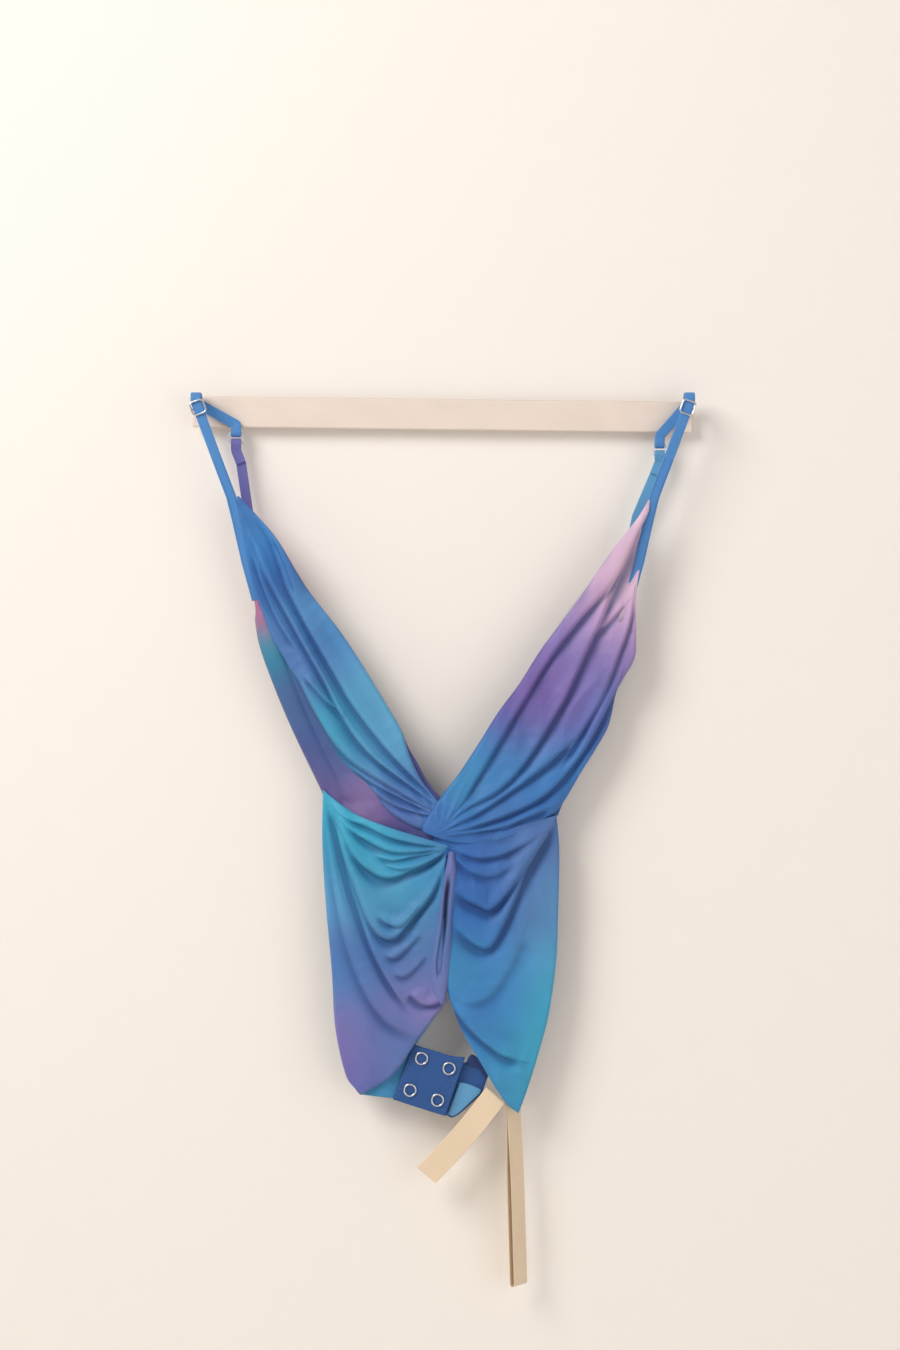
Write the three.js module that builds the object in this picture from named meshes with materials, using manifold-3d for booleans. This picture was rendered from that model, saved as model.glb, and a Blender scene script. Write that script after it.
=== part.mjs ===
// Twist-front bodysuit with thin adjustable straps, hanging by them.
// Millimetres, +Z up, the front faces -Y. Right and left are the wearer's, so right is -X.
// The origin is midway between the two strap bights, at the height where they rest on
// whatever holds the garment up. A "drop" is a distance below the origin.

import * as THREE from 'three';
import { mergeVertices } from 'three/addons/utils/BufferGeometryUtils.js';
import Module from 'manifold-3d';

const wasm = await Module();
wasm.setup();

// ---- Driving dimensions ----------------------------------------------------------------

const layerGap = 0.4;             // between layers that lie on each other
const seamGap = 0.6;              // between pieces that meet edge to edge

const strapSpread = 344;          // between the middles of the two bights
const hangerDepth = 14;           // thickness of the arm that the bights go over
const strapWidth = 7;
const strapThickness = 1.4;
const bightCorner = 4.2;          // how far each bight's corner rounds, front and back
const runTopDrop = 3.5;           // where the straight front and back runs begin
const strapEndDrop = 141;         // tip of the front strap, sewn along the cup
const strapEndX = 133;            // middle of that tip, from the centre line
const strapBendDrop = 106;        // where the strap turns to follow the armhole

const sliderDrop = 8;             // middle of the slider at rest
const sliderHeight = 10.6;
const sliderWire = 1.3;
const sliderClearance = 0.35;

const ringWire = 1.6;
const ringHeight = 8.6;
const ringSideClearance = 0.4;
const ringClearance = 0.3;
const ringPlay = 0.8;             // extra room round the lower bar, so that the ring tips
const ringApproach = 6;           // the plies run straight this far above and below a ring
const stubLength = 14;            // doubled end of the back strap
const backStrapMidDrop = 83;
const backStrapMidX = 136;

const bandWidth = 21.7;
const bandThickness = 0.8;

const apexX = 142.5;              // top of each cup
const apexDrop = 72;
const bustWidth = 262;
const bustDrop = 178;
const bodyWidth = 165;            // laid flat, side seam to side seam
const waistDrop = 281;
const neckX = 52;                 // halfway down the neckline
const neckDrop = 200;
const neckEndDrop = 276;          // bottom of the V
const sideStrip = 13;             // smooth cup base left bare outside the folds
const drapeThickness = 5;
const liningThickness = 1.2;
const elasticThickness = 0.8;
const elasticWidth = 5;
const backThickness = 1.2;
const meshThickness = 0.8;
const cupCrown = 7;               // how far the layers swell forward
const bodyCrown = 16;
const hemCrown = 5;
const backCrown = 9;

const knotX = 2.5;
const knotDrop = 311;
const knotHalfWidth = 10;
const knotHalfHeight = 11;
const knotHalfDepth = 7;
const slitDrop = 421;             // top of the gap between the two front hems

const wingX = 103;                // top corner of each back panel
const wingDrop = 228;
const backNeckDrop = 302;         // lowest point of the low back
const backLegDrop = 412;          // where the right leg edge reaches the centre back
const backLegX = 45;              // that leg edge, halfway up to the hip
const crotchTopWidth = 19;        // the narrow part between the legs, where it meets its tab

const gussetX = -9.3;             // middle of the four snaps
const gussetDrop = 475.5;
const gussetTilt = THREE.MathUtils.degToRad(20);
const gussetWidth = 38.4;
const gussetTop = 21;
const gussetBottom = 22;
const tabInset = 1.5;             // the back tab is this much smaller than the front one
const gussetThickness = 1.6;
const gussetReach = 38;           // the back tab runs on this far past the middle
const hingeGap = 1.8;             // room for the front tab's edge to turn

const snapSpacingX = 20.4;
const snapSpacingZ = 23.5;
const capRadius = 4.65;
const capBand = 1.05;
const capThickness = 0.8;
const socketRadius = 4.2;
const socketHeight = 2;
const socketFloor = 0.4;
const noseRadius = 2;
const noseDepth = 0.9;            // how far the stud's nose stands in the socket
const snapClearance = 0.5;
const studBase = 0.6;

const ribbonWidth = 17;
const ribbonThickness = 0.5;
const shortLoopX = 38;
const shortLoopDrop = 485;
const shortLoopLength = 76;
const shortLoopLean = THREE.MathUtils.degToRad(40.6);
const longLoopX = 47;
const longLoopDrop = 486;
const longLoopLength = 133;
const longLoopLean = THREE.MathUtils.degToRad(-1.7);
const longLoopTurn = THREE.MathUtils.degToRad(56);
const longLoopFlat = 14;          // the long loop lies flat this far before it turns
const longLoopOpen = 3.4;         // its two plies stand this far apart lower down
const loopGap = 1.2;              // room for the short loop to swing behind the front panel
const roundSides = 32;

// The two sides hang a little differently: where the armhole edge is widest, the top of
// the side seam, the side of the hip, the tip of the front hem, the ring and the band.
const SIDES = [
    {
        name: 'right', sign: -1, bustX: 127, sideX: 84.5, sideDrop: 273, hipX: 78, hipDrop: 400,
        hemX: 58.5, hemDrop: 486.5, ringX: 145, ringDrop: 28, bandDrop: 9,
    },
    {
        name: 'left', sign: 1, bustX: 135, sideX: 80.5, sideDrop: 289, hipX: 79, hipDrop: 400,
        hemX: 54, hemDrop: 499, ringX: 152, ringDrop: 36, bandDrop: 13,
    },
];

// ---- Sizes that follow -----------------------------------------------------------------

const innerPlyY = hangerDepth / 2 + ringClearance + strapThickness / 2;
const outerPlyY = innerPlyY + strapThickness + ringClearance;
const innerPlyZ = strapThickness / 2;
const outerPlyZ = innerPlyZ + strapThickness + ringClearance;

const elasticOffset = (drapeThickness + elasticThickness) / 2 + layerGap;
const liningOffset = elasticOffset + (elasticThickness + liningThickness) / 2 + layerGap;
const frontSeamY = liningOffset + (liningThickness + layerGap) / 2;
const meshSeamY = (meshThickness + layerGap) / 2;
const backSeamY = meshSeamY + (meshThickness + backThickness) / 2 + layerGap;

const colours = {
    azure: 0x2a73b8, teal: 0x2f9fc0, violet: 0x8a74bd, slate: 0x4f79ad, royal: 0x1d5eb0,
    navy: 0x1c2f63, nude: 0xdcc6a8, mesh: 0x8b8177, silver: 0xc9ccd1, clear: 0xdfe6ea,
};

// ---- Helpers ---------------------------------------------------------------------------

const model = new THREE.Group();

function add(parent, name, geometry, colour, roughness = 0.6, metalness = 0) {
    const material = new THREE.MeshStandardMaterial({ color: colour, roughness, metalness });
    const mesh = new THREE.Mesh(geometry, material);
    mesh.name = name;
    parent.add(mesh);
    return mesh;
}

function point(x, drop) {
    return new THREE.Vector2(x, -drop);
}

// An edge made of one or more smooth stretches that meet at corners.
function edge(...stretches) {
    const path = new THREE.CurvePath();
    stretches.forEach((stretch) => path.add(new THREE.SplineCurve(stretch)));
    return (t) => path.getPoint(Math.min(t, 0.9999));
}

function straight(...corners) {
    const stretches = corners.slice(1).map((corner, i) => [corners[i], corner]);
    return edge(...stretches);
}

// Triangles between two copies of a grid, front and back, closed by a rim.
function closedGrid(front, back, columns, rows) {
    const positions = [...front, ...back].flatMap((p) => [p.x, p.y, p.z]);
    const far = front.length;
    const at = (column, row) => row * (columns + 1) + column;
    const index = [];
    const quad = (a, b, c, d) => index.push(a, b, c, a, c, d);
    for (let row = 0; row < rows; row += 1) {
        for (let column = 0; column < columns; column += 1) {
            const [a, b] = [at(column, row), at(column + 1, row)];
            const [c, d] = [at(column + 1, row + 1), at(column, row + 1)];
            quad(a, d, c, b);
            quad(far + a, far + b, far + c, far + d);
        }
    }
    const rim = (a, b) => quad(a, b, far + b, far + a);
    for (let column = 0; column < columns; column += 1) {
        rim(at(column, 0), at(column + 1, 0));
        rim(at(column + 1, rows), at(column, rows));
    }
    for (let row = 0; row < rows; row += 1) {
        rim(at(columns, row), at(columns, row + 1));
        rim(at(0, row + 1), at(0, row));
    }
    const geometry = new THREE.BufferGeometry();
    geometry.setAttribute('position', new THREE.Float32BufferAttribute(positions, 3));
    geometry.setIndex(index);
    return geometry;
}

// Cloth stretched between a left and a right edge, both running down. surfaceY gives the
// Y of its middle over (x, drop).
function cloth(left, right, surfaceY, thickness, columns = 8, rows = 16) {
    const front = [];
    const back = [];
    for (let row = 0; row <= rows; row += 1) {
        const a = left(row / rows);
        const b = right(row / rows);
        for (let column = 0; column <= columns; column += 1) {
            const p = a.clone().lerp(b, column / columns);
            const y = surfaceY(p.x, -p.y);
            front.push(new THREE.Vector3(p.x, y - thickness / 2, p.y));
            back.push(new THREE.Vector3(p.x, y + thickness / 2, p.y));
        }
    }
    return closedGrid(front, back, columns, rows);
}

// A flat band carried along a path of points. Its width lies as near to X as the path
// lets it.
function band(path, width, thickness) {
    const front = [];
    const back = [];
    path.forEach((centre, i) => {
        const before = path[Math.max(i - 1, 0)];
        const after = path[Math.min(i + 1, path.length - 1)];
        const incoming = centre.clone().sub(before).normalize();
        const outgoing = after.clone().sub(centre).normalize();
        const along = after.clone().sub(before).normalize();
        const inner = i > 0 && i < path.length - 1;
        const mitre = inner ? 1 / Math.sqrt((1 + incoming.dot(outgoing)) / 2) : 1;
        const across = new THREE.Vector3(1, 0, 0).addScaledVector(along, -along.x).normalize();
        const out = new THREE.Vector3().crossVectors(along, across);
        [[front, 1], [back, -1]].forEach(([list, face]) => {
            const middle = centre.clone().addScaledVector(out, face * mitre * thickness / 2);
            list.push(middle.clone().addScaledVector(across, -width / 2));
            list.push(middle.clone().addScaledVector(across, width / 2));
        });
    });
    return closedGrid(front, back, 1, path.length - 1);
}

function outline(points) {
    return new THREE.Shape(points.map(([x, z]) => new THREE.Vector2(x, z)));
}

// A flat piece: its outline is drawn in X and Z, and it is centred on y.
function flat(shape, y, thickness) {
    const geometry = new THREE.ExtrudeGeometry(shape, { depth: thickness, bevelEnabled: false });
    geometry.rotateX(Math.PI / 2);
    geometry.translate(0, y + thickness / 2, 0);
    return geometry;
}

// A turned piece on the Y axis, from (radius, y) corners.
function turned(corners) {
    const closed = corners.map(([radius, y]) => new THREE.Vector2(radius, y));
    return new THREE.LatheGeometry([...closed, closed[0].clone()], roundSides);
}

function box(width, depth, height, x = 0, y = 0, z = 0) {
    return new THREE.BoxGeometry(width, depth, height).translate(x, y, z);
}

function solidOf(geometry) {
    const bare = geometry.clone();
    bare.deleteAttribute('normal');
    bare.deleteAttribute('uv');
    const merged = mergeVertices(bare, 1e-4);
    return new wasm.Manifold(new wasm.Mesh({
        numProp: 3,
        vertProperties: new Float32Array(merged.attributes.position.array),
        triVerts: new Uint32Array(merged.index.array),
    }));
}

function join(geometries) {
    const solid = geometries.map(solidOf).reduce((sum, next) => sum.add(next));
    const mesh = solid.getMesh();
    const geometry = new THREE.BufferGeometry();
    geometry.setAttribute('position', new THREE.BufferAttribute(mesh.vertProperties, 3));
    geometry.setIndex(new THREE.BufferAttribute(mesh.triVerts, 1));
    return geometry;
}

function mix(a, b, t) {
    return THREE.MathUtils.lerp(a, b, THREE.MathUtils.clamp(t, 0, 1));
}

function ease(value, start, end) {
    return THREE.MathUtils.smoothstep(value, start, end);
}

// ---- The garment's form ----------------------------------------------------------------

function halfWidth(drop) {
    return mix(bustWidth / 2, bodyWidth / 2, (drop - bustDrop) / (waistDrop - bustDrop));
}

// 1 at the centre line, easing to 0 at the side seams.
function swell(x, drop) {
    return Math.max(0, 1 - (x / halfWidth(drop)) ** 2);
}

// Y of the middle of the folded outer layer over (x, drop); inner layers add an offset.
function frontY(x, drop) {
    const seam = mix(outerPlyY, frontSeamY, ease(drop, apexDrop, waistDrop));
    const upper = mix(cupCrown, bodyCrown, ease(drop, bustDrop, knotDrop));
    const crown = mix(upper, hemCrown, ease(drop, knotDrop, gussetDrop));
    return -seam - crown * swell(x, drop);
}

function layerY(offset) {
    return (x, drop) => frontY(x, drop) + offset;
}

function backY(offset) {
    return (x, drop) => offset + backCrown * swell(x, drop) * (1 - ease(drop, waistDrop, gussetDrop));
}

// ---- Cups ------------------------------------------------------------------------------

// Both edges of a cup run from its apex to the knot: the outer one down the armhole and
// in along the seam under the bust, the inner one down the neckline. inset bares the strip.
function cupEdges(side, inset) {
    const s = side.sign;
    const over = side.sign > 0;
    const foot = seamFoot(side);
    const start = inset ? apexX - 2 : apexX;
    const outer = edge(
        [
            point(s * start, apexDrop),
            point(s * (strapEndX - strapWidth / 2 - seamGap - inset / 2), strapEndDrop),
            point(s * (side.bustX - inset), bustDrop),
            point(s * (mix(side.bustX, side.sideX, 0.55) - inset), mix(bustDrop, side.sideDrop, 0.5)),
            point(s * (side.sideX - inset), side.sideDrop - seamGap),
        ],
        [
            point(s * (side.sideX - inset), side.sideDrop - seamGap),
            point(over ? foot.x : foot.x - 1, foot.drop - seamGap),
        ],
    );
    const tipX = over ? knotX - knotHalfWidth * 0.75 : foot.x - 1;
    const inner = edge([
        point(s * (apexX - 3.5), apexDrop),
        point(s * mix(apexX, neckX, 0.44), mix(apexDrop, neckDrop, 0.43)),
        point(s * neckX, neckDrop),
        point(s * (over ? 1 : 11), neckEndDrop - 3),
        point(tipX, knotDrop - knotHalfHeight - (over ? 4 : 11)),
    ]);
    return side.sign > 0 ? [inner, outer] : [outer, inner];
}

// Where the seam under the bust reaches the knot.
function seamFoot(side) {
    return { x: knotX + side.sign * (knotHalfWidth + 1.5), drop: knotDrop - knotHalfHeight * 0.7 };
}

function neckBand(side) {
    const s = side.sign;
    const line = (shift) => edge([
        point(s * (mix(apexX, neckX, 0.2) + shift), mix(apexDrop, neckDrop, 0.24)),
        point(s * (mix(apexX, neckX, 0.6) + shift), mix(apexDrop, neckDrop, 0.57)),
        point(s * (neckX + shift), neckDrop),
        point(s * (mix(neckX, 12, 0.6) + shift), mix(neckDrop, neckEndDrop, 0.65)),
    ]);
    const pair = [line(2), line(2 + elasticWidth * 1.2)];
    return side.sign > 0 ? pair : pair.reverse();
}

for (const side of SIDES) {
    const [drapeLeft, drapeRight] = cupEdges(side, sideStrip);
    const [baseLeft, baseRight] = cupEdges(side, 0);
    const [elasticLeft, elasticRight] = neckBand(side);
    add(model, `cup_drape_${side.name}`, cloth(drapeLeft, drapeRight, frontY, drapeThickness),
        side.sign > 0 ? colours.violet : colours.azure);
    add(model, `cup_base_${side.name}`,
        cloth(baseLeft, baseRight, layerY(liningOffset), liningThickness), colours.slate);
    const elastic = cloth(elasticLeft, elasticRight, layerY(elasticOffset), elasticThickness, 1, 12);
    add(model, `neck_elastic_${side.name}`, elastic, colours.clear);
}

// ---- Knot and front panels -------------------------------------------------------------

const knot = new THREE.SphereGeometry(1, 24, 14);
knot.scale(knotHalfWidth, knotHalfDepth, knotHalfHeight);
knot.translate(knotX, frontY(knotX, knotDrop) - knotHalfDepth / 3, -knotDrop);
add(model, 'twist_knot', knot, colours.royal);

function gussetSeam(z, gap) {
    const x = -gussetWidth / 2 - gap;
    const [sin, cos] = [Math.sin(gussetTilt), Math.cos(gussetTilt)];
    return point(gussetX + x * cos + z * sin, gussetDrop + x * sin - z * cos);
}

function sideEdge(side, endX, endDrop) {
    const s = side.sign;
    return edge([
        point(s * side.sideX, side.sideDrop + seamGap),
        point(s * mix(side.sideX, side.hipX, 0.2), mix(side.sideDrop, side.hipDrop, 0.5)),
        point(s * side.hipX, side.hipDrop),
        point(s * mix(side.hipX, side.hemX, 0.28), mix(side.hipDrop, side.hemDrop, 0.55)),
        point(s * endX, endDrop),
    ]);
}

function centreStretch(side) {
    const foot = seamFoot(side);
    const slitX = knotX + side.sign * 1.2 + 0.6;
    return [
        point(foot.x, foot.drop + seamGap),
        point(mix(foot.x, slitX, 0.06), knotDrop + knotHalfHeight * 0.7),
        point(slitX, knotDrop + knotHalfHeight + 7),
        point(slitX, mix(knotDrop, slitDrop, 0.5)),
        point(slitX, slitDrop),
    ];
}

function hemStretch(side) {
    const slitX = knotX + side.sign * 1.2 + 0.6;
    const tip = side.sign * (side.hemX - 4);
    return [
        point(slitX, slitDrop),
        point(mix(slitX, tip, side.sign > 0 ? 0.36 : 0.42), mix(slitDrop, side.hemDrop, 0.42)),
        point(mix(slitX, tip, 0.68), mix(slitDrop, side.hemDrop, 0.76)),
        point(tip, side.hemDrop - 2),
    ];
}

function shifted(stretch, dx, rise) {
    return stretch.map((p) => new THREE.Vector2(p.x + dx, p.y + rise));
}

// The left lining stops above the ribbon loops, which are sewn to the hem below it.
const loopTop = Math.min(shortLoopDrop, longLoopDrop) - ribbonWidth / 2 - seamGap * 2;

for (const side of SIDES) {
    const s = side.sign;
    const outer = sideEdge(side, side.hemX, side.hemDrop);
    const inner = edge(centreStretch(side), hemStretch(side));
    const ordered = (a, b) => (side.sign > 0 ? [b, a] : [a, b]);
    const [left, right] = ordered(outer, inner);
    add(model, `front_panel_${side.name}`, cloth(left, right, frontY, drapeThickness, 8, 20),
        side.sign > 0 ? colours.azure : colours.teal);

    const hemLine = hemStretch(side);
    const liningHem = side.sign > 0
        ? [...shifted(hemLine.slice(0, 2), 3, 3), point(mix(hemLine[1].x, hemLine[2].x, 0.85), loopTop)]
        : [gussetSeam(gussetTop, hingeGap), gussetSeam(-gussetBottom, hingeGap)];
    const liningCentre = shifted(centreStretch(side), s * 2, 0);
    liningCentre.push(liningHem[0]);
    const liningOuter = side.sign > 0
        ? sideEdge(side, mix(side.hipX, side.hemX, 0.7), loopTop)
        : sideEdge(side, side.hemX - 1, side.hemDrop);
    const [innerLeft, innerRight] = ordered(liningOuter, edge(liningCentre, liningHem));
    add(model, `front_lining_${side.name}`,
        cloth(innerLeft, innerRight, layerY(liningOffset), liningThickness, 8, 20), colours.teal);

    const cut = point(mix(hemLine[1].x, hemLine[2].x, 0.7), loopTop);
    const hem = side.sign > 0 ? [...hemLine.slice(0, 2), cut] : hemLine;
    const [low, high] = [edge(shifted(hem, s * 2, 2)), edge(shifted(hem, s * 5, 2 + elasticWidth))];
    const [hemLeft, hemRight] = ordered(high, low);
    add(model, `leg_elastic_${side.name}`,
        cloth(hemLeft, hemRight, layerY(elasticOffset), elasticThickness, 1, 12), colours.clear);
}

// ---- Back panels -----------------------------------------------------------------------

// The centre back seam joins them. The right one ends at its leg edge, and the left one
// runs on down to the back tab, so it carries the narrow part between the legs.
function backEdges(side) {
    const s = side.sign;
    const centre = s * seamGap;
    const top = [
        point(s * (wingX - strapWidth), wingDrop),
        point(s * wingX * 0.5, mix(wingDrop, backNeckDrop, 0.62)),
        point(centre, backNeckDrop),
    ];
    const outerTop = [
        point(s * wingX, wingDrop),
        point(s * side.sideX, side.sideDrop),
        point(s * mix(side.sideX, side.hipX, 0.3), mix(side.sideDrop, side.hipDrop, 0.4)),
    ];
    if (side.sign < 0) {
        const leg = [
            outerTop[2],
            point(s * backLegX, mix(waistDrop, backLegDrop, 0.72)),
            point(centre - seamGap, backLegDrop),
        ];
        return [edge(outerTop, leg), edge(top, [top[2], point(centre, backLegDrop - strapWidth)])];
    }
    const tabX = gussetX + gussetReach;
    const tabDrop = gussetDrop - gussetTop + 4;
    const narrowX = tabX - 5;
    const rightLeg = [
        top[2],
        point(centre, mix(backNeckDrop, slitDrop, 0.7)),
        point(narrowX - strapWidth, mix(slitDrop, tabDrop, 0.4)),
        point(narrowX, tabDrop),
    ];
    const leftLeg = [
        outerTop[2],
        point(side.hipX - 4, side.hipDrop),
        point(narrowX + crotchTopWidth + 16, mix(side.hipDrop, tabDrop, 0.65)),
        point(narrowX + crotchTopWidth, tabDrop + 4),
    ];
    return [edge(top, rightLeg), edge(outerTop, leftLeg)];
}

for (const side of SIDES) {
    const [left, right] = backEdges(side);
    add(model, `back_panel_${side.name}`, cloth(left, right, backY(backSeamY), backThickness),
        side.sign > 0 ? colours.azure : colours.slate);
    add(model, `back_mesh_${side.name}`,
        cloth(left, right, backY(meshSeamY), meshThickness), colours.mesh);
}

// ---- Straps, rings and band ------------------------------------------------------------

function arc(centreY, centreZ, radius, x, from, to, steps = 8) {
    return Array.from({ length: steps + 1 }, (_, i) => {
        const angle = THREE.MathUtils.lerp(from, to, i / steps);
        const [y, z] = [radius * Math.cos(angle), radius * Math.sin(angle)];
        return new THREE.Vector3(x, centreY + y, centreZ + z);
    });
}

// Over the hanger from the front run to the back run, with rounded corners.
function bight(x, y, z) {
    const corner = (face) => new THREE.QuadraticBezierCurve3(
        new THREE.Vector3(x, face * y, -runTopDrop),
        new THREE.Vector3(x, face * y, z),
        new THREE.Vector3(x, face * bightCorner, z),
    ).getPoints(5);
    return [...corner(-1), ...corner(1).reverse()];
}

function frontRunX(side, drop) {
    const end = apexX + strapWidth / 2 + seamGap;
    return side.sign * mix(strapSpread / 2, end, (drop - runTopDrop) / (apexDrop - runTopDrop));
}

function backRunX(side, drop) {
    const end = ringTopBar(side) - ringApproach;
    return side.sign * mix(strapSpread / 2, side.ringX, (drop - runTopDrop) / (end - runTopDrop));
}

function ringTopBar(side) {
    return side.ringDrop - (ringHeight - ringWire) / 2;
}

const ringY = (innerPlyY + outerPlyY) / 2;
const wireReach = ringWire * Math.SQRT1_2;
const upperTurn = wireReach + ringClearance + strapThickness / 2;
const lowerTurn = upperTurn + ringPlay;
const loopLean = Math.PI / 9;

// The long strap: up the cup's edge, through the slider, over the hanger, round the ring's
// upper bar and back over the hanger to the slider's bar.
function frontStrapPath(side) {
    const x = side.sign * strapSpread / 2;
    const up = (u, drop, y) => new THREE.Vector3(u, y, -drop);
    const tip = up(side.sign * strapEndX, strapEndDrop, -outerPlyY - 1);
    const bendX = mix(apexX + strapWidth / 2, strapEndX, 0.55);
    const bend = up(side.sign * bendX, strapBendDrop, -outerPlyY - 0.5);
    const apex = up(frontRunX(side, apexDrop), apexDrop, -outerPlyY);
    const bar = ringTopBar(side);
    const ringX = side.sign * side.ringX;
    const turn = arc(ringY, -bar, upperTurn, ringX, loopLean, -Math.PI - loopLean);
    const end = sliderDrop - sliderWire / 2 - sliderClearance;
    return [
        tip, bend, apex,
        ...bight(x, outerPlyY, outerPlyZ),
        up(ringX, bar - ringApproach, outerPlyY), ...turn, up(ringX, bar - ringApproach, innerPlyY),
        ...bight(x, innerPlyY, innerPlyZ).reverse(),
        up(frontRunX(side, end), end, -innerPlyY),
    ];
}

function backStrapPath(side) {
    const bar = 2 * side.ringDrop - ringTopBar(side);
    const x = side.sign * side.ringX;
    const stubX = side.sign * mix(side.ringX, backStrapMidX, 0.3);
    const turn = arc(ringY, -bar, lowerTurn, x, Math.PI + loopLean, -loopLean);
    const endX = side.sign * (wingX - strapWidth / 2);
    const endDrop = wingDrop + strapWidth;
    const panelY = backY(backSeamY)(wingX - strapWidth, endDrop);
    const endY = panelY + (backThickness + strapThickness) / 2 + layerGap;
    return [
        new THREE.Vector3(stubX, innerPlyY, -(bar + stubLength)),
        new THREE.Vector3(x, innerPlyY, -(bar + ringApproach)),
        ...turn,
        new THREE.Vector3(x, outerPlyY, -(bar + ringApproach)),
        new THREE.Vector3(stubX, outerPlyY, -(bar + stubLength)),
        new THREE.Vector3(side.sign * backStrapMidX, mix(outerPlyY, endY, 0.3), -backStrapMidDrop),
        new THREE.Vector3(endX, endY, -endDrop),
    ];
}

// Side rails beside the strap, two bars in front of it and one behind it.
function sliderGeometry() {
    const width = strapWidth + 2 * (sliderClearance + sliderWire);
    const railX = (width - sliderWire) / 2;
    const barY = strapThickness / 2 + sliderClearance + sliderWire / 2;
    const barZ = (sliderHeight - sliderWire) / 2;
    const depth = 2 * barY + sliderWire;
    return join([
        box(sliderWire, depth / 2, sliderHeight, -railX, -depth / 4),
        box(sliderWire, depth / 2, sliderHeight, railX, -depth / 4),
        box(sliderWire, depth, sliderWire, -railX),
        box(sliderWire, depth, sliderWire, railX),
        box(width, sliderWire, sliderWire, 0, -barY, barZ),
        box(width, sliderWire, sliderWire, 0, -barY, -barZ),
        box(width, sliderWire, sliderWire, 0, barY, 0),
    ]);
}

function roundedRect(width, height, radius) {
    const [w, h] = [width / 2, height / 2];
    const shape = new THREE.Shape();
    shape.absarc(w - radius, h - radius, radius, 0, Math.PI / 2);
    shape.absarc(radius - w, h - radius, radius, Math.PI / 2, Math.PI);
    shape.absarc(radius - w, radius - h, radius, Math.PI, Math.PI * 1.5);
    shape.absarc(w - radius, radius - h, radius, Math.PI * 1.5, Math.PI * 2);
    return shape;
}

function ringGeometry() {
    const opening = strapWidth + 2 * ringSideClearance;
    const shape = roundedRect(opening + 2 * ringWire, ringHeight, ringWire);
    shape.holes.push(roundedRect(opening, ringHeight - 2 * ringWire, ringSideClearance));
    const options = { depth: ringWire, bevelEnabled: false, curveSegments: 5 };
    const geometry = new THREE.ExtrudeGeometry(shape, options);
    geometry.rotateX(Math.PI / 2);
    geometry.translate(0, ringWire / 2, 0);
    return geometry;
}

for (const side of SIDES) {
    const longStrap = band(frontStrapPath(side), strapWidth, strapThickness);
    const shortStrap = band(backStrapPath(side), strapWidth, strapThickness);
    add(model, `strap_front_${side.name}`, longStrap, colours.azure);
    add(model, `strap_back_${side.name}`, shortStrap, colours.violet);

    const slider = add(model, `slider_${side.name}`, sliderGeometry(), colours.silver, 0.25, 1);
    const run = side.sign * (frontRunX(side, runTopDrop) - frontRunX(side, apexDrop));
    slider.position.set(frontRunX(side, sliderDrop), -outerPlyY, -sliderDrop);
    slider.rotation.y = side.sign * Math.atan2(run, apexDrop - runTopDrop);

    const ring = add(model, `ring_${side.name}`, ringGeometry(), colours.clear, 0.15);
    ring.position.set(side.sign * side.ringX, ringY, -side.ringDrop);
}

const bandY = ringY + upperTurn + (strapThickness + bandThickness) / 2 + layerGap;
const bandEnds = SIDES.map((side) => {
    const [top, bottom] = [side.bandDrop - bandWidth / 2, side.bandDrop + bandWidth / 2];
    const x = (drop) => backRunX(side, drop) + side.sign * strapWidth / 2;
    return straight(point(x(top), top), point(x(bottom), bottom));
});
add(model, 'back_band',
    cloth(bandEnds[0], bandEnds[1], () => bandY, bandThickness, 12, 2), colours.nude);

// ---- Gusset tabs and snaps -------------------------------------------------------------

const gusset = new THREE.Group();
const gussetY = layerY(liningOffset)(gussetSeam(0, 0).x, gussetDrop);
gusset.position.set(gussetX, gussetY, -gussetDrop);
gusset.rotation.y = gussetTilt;
model.add(gusset);

const half = gussetWidth / 2;
const socketFront = gussetThickness / 2 + layerGap;
const socketMouth = socketFront + socketHeight;
const studFront = socketMouth + snapClearance;
const backTabY = studFront + studBase + layerGap + gussetThickness / 2;

const frontTab = outline([
    [-half, -gussetBottom], [half, -gussetBottom + 1.5], [half - 1, gussetTop + 2],
    [half - 9, gussetTop - 0.4], [half - 18, gussetTop - 1], [-half, gussetTop - 2],
]);
add(gusset, 'gusset_front', flat(frontTab, 0, gussetThickness), colours.royal);

const backTab = outline([
    [-half + tabInset, -gussetBottom + tabInset * 2], [half, -gussetBottom + tabInset],
    [half + 7.5, -gussetBottom + 3.5], [gussetReach, 2], [gussetReach, gussetTop + 1],
    [half + 3, gussetTop + 4], [half - 2, gussetTop - 3], [-half + tabInset, gussetTop - 3],
]);
add(gusset, 'gusset_back', flat(backTab, backTabY, gussetThickness), colours.slate);

const liningY = backTabY - (liningThickness + gussetThickness) / 2 - layerGap;
const tabLining = outline([
    [half + seamGap * 2, -gussetBottom + 3], [half + 7, -gussetBottom + 4.5],
    [gussetReach - 1, 3], [gussetReach - 2, 6], [half + seamGap * 2, 5],
]);
add(gusset, 'gusset_lining', flat(tabLining, liningY, liningThickness), colours.teal);

const binding = outline([
    [half + seamGap * 2, gussetTop - 3.5], [gussetReach - 8, gussetTop - 3],
    [gussetReach, gussetTop - 9], [gussetReach, gussetTop - 4], [gussetReach - 7, gussetTop + 2],
    [half + 3.4, gussetTop + 5], [half + seamGap * 2, gussetTop + 2],
]);
add(gusset, 'leg_binding', flat(binding, liningY, liningThickness), colours.navy);

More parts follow.
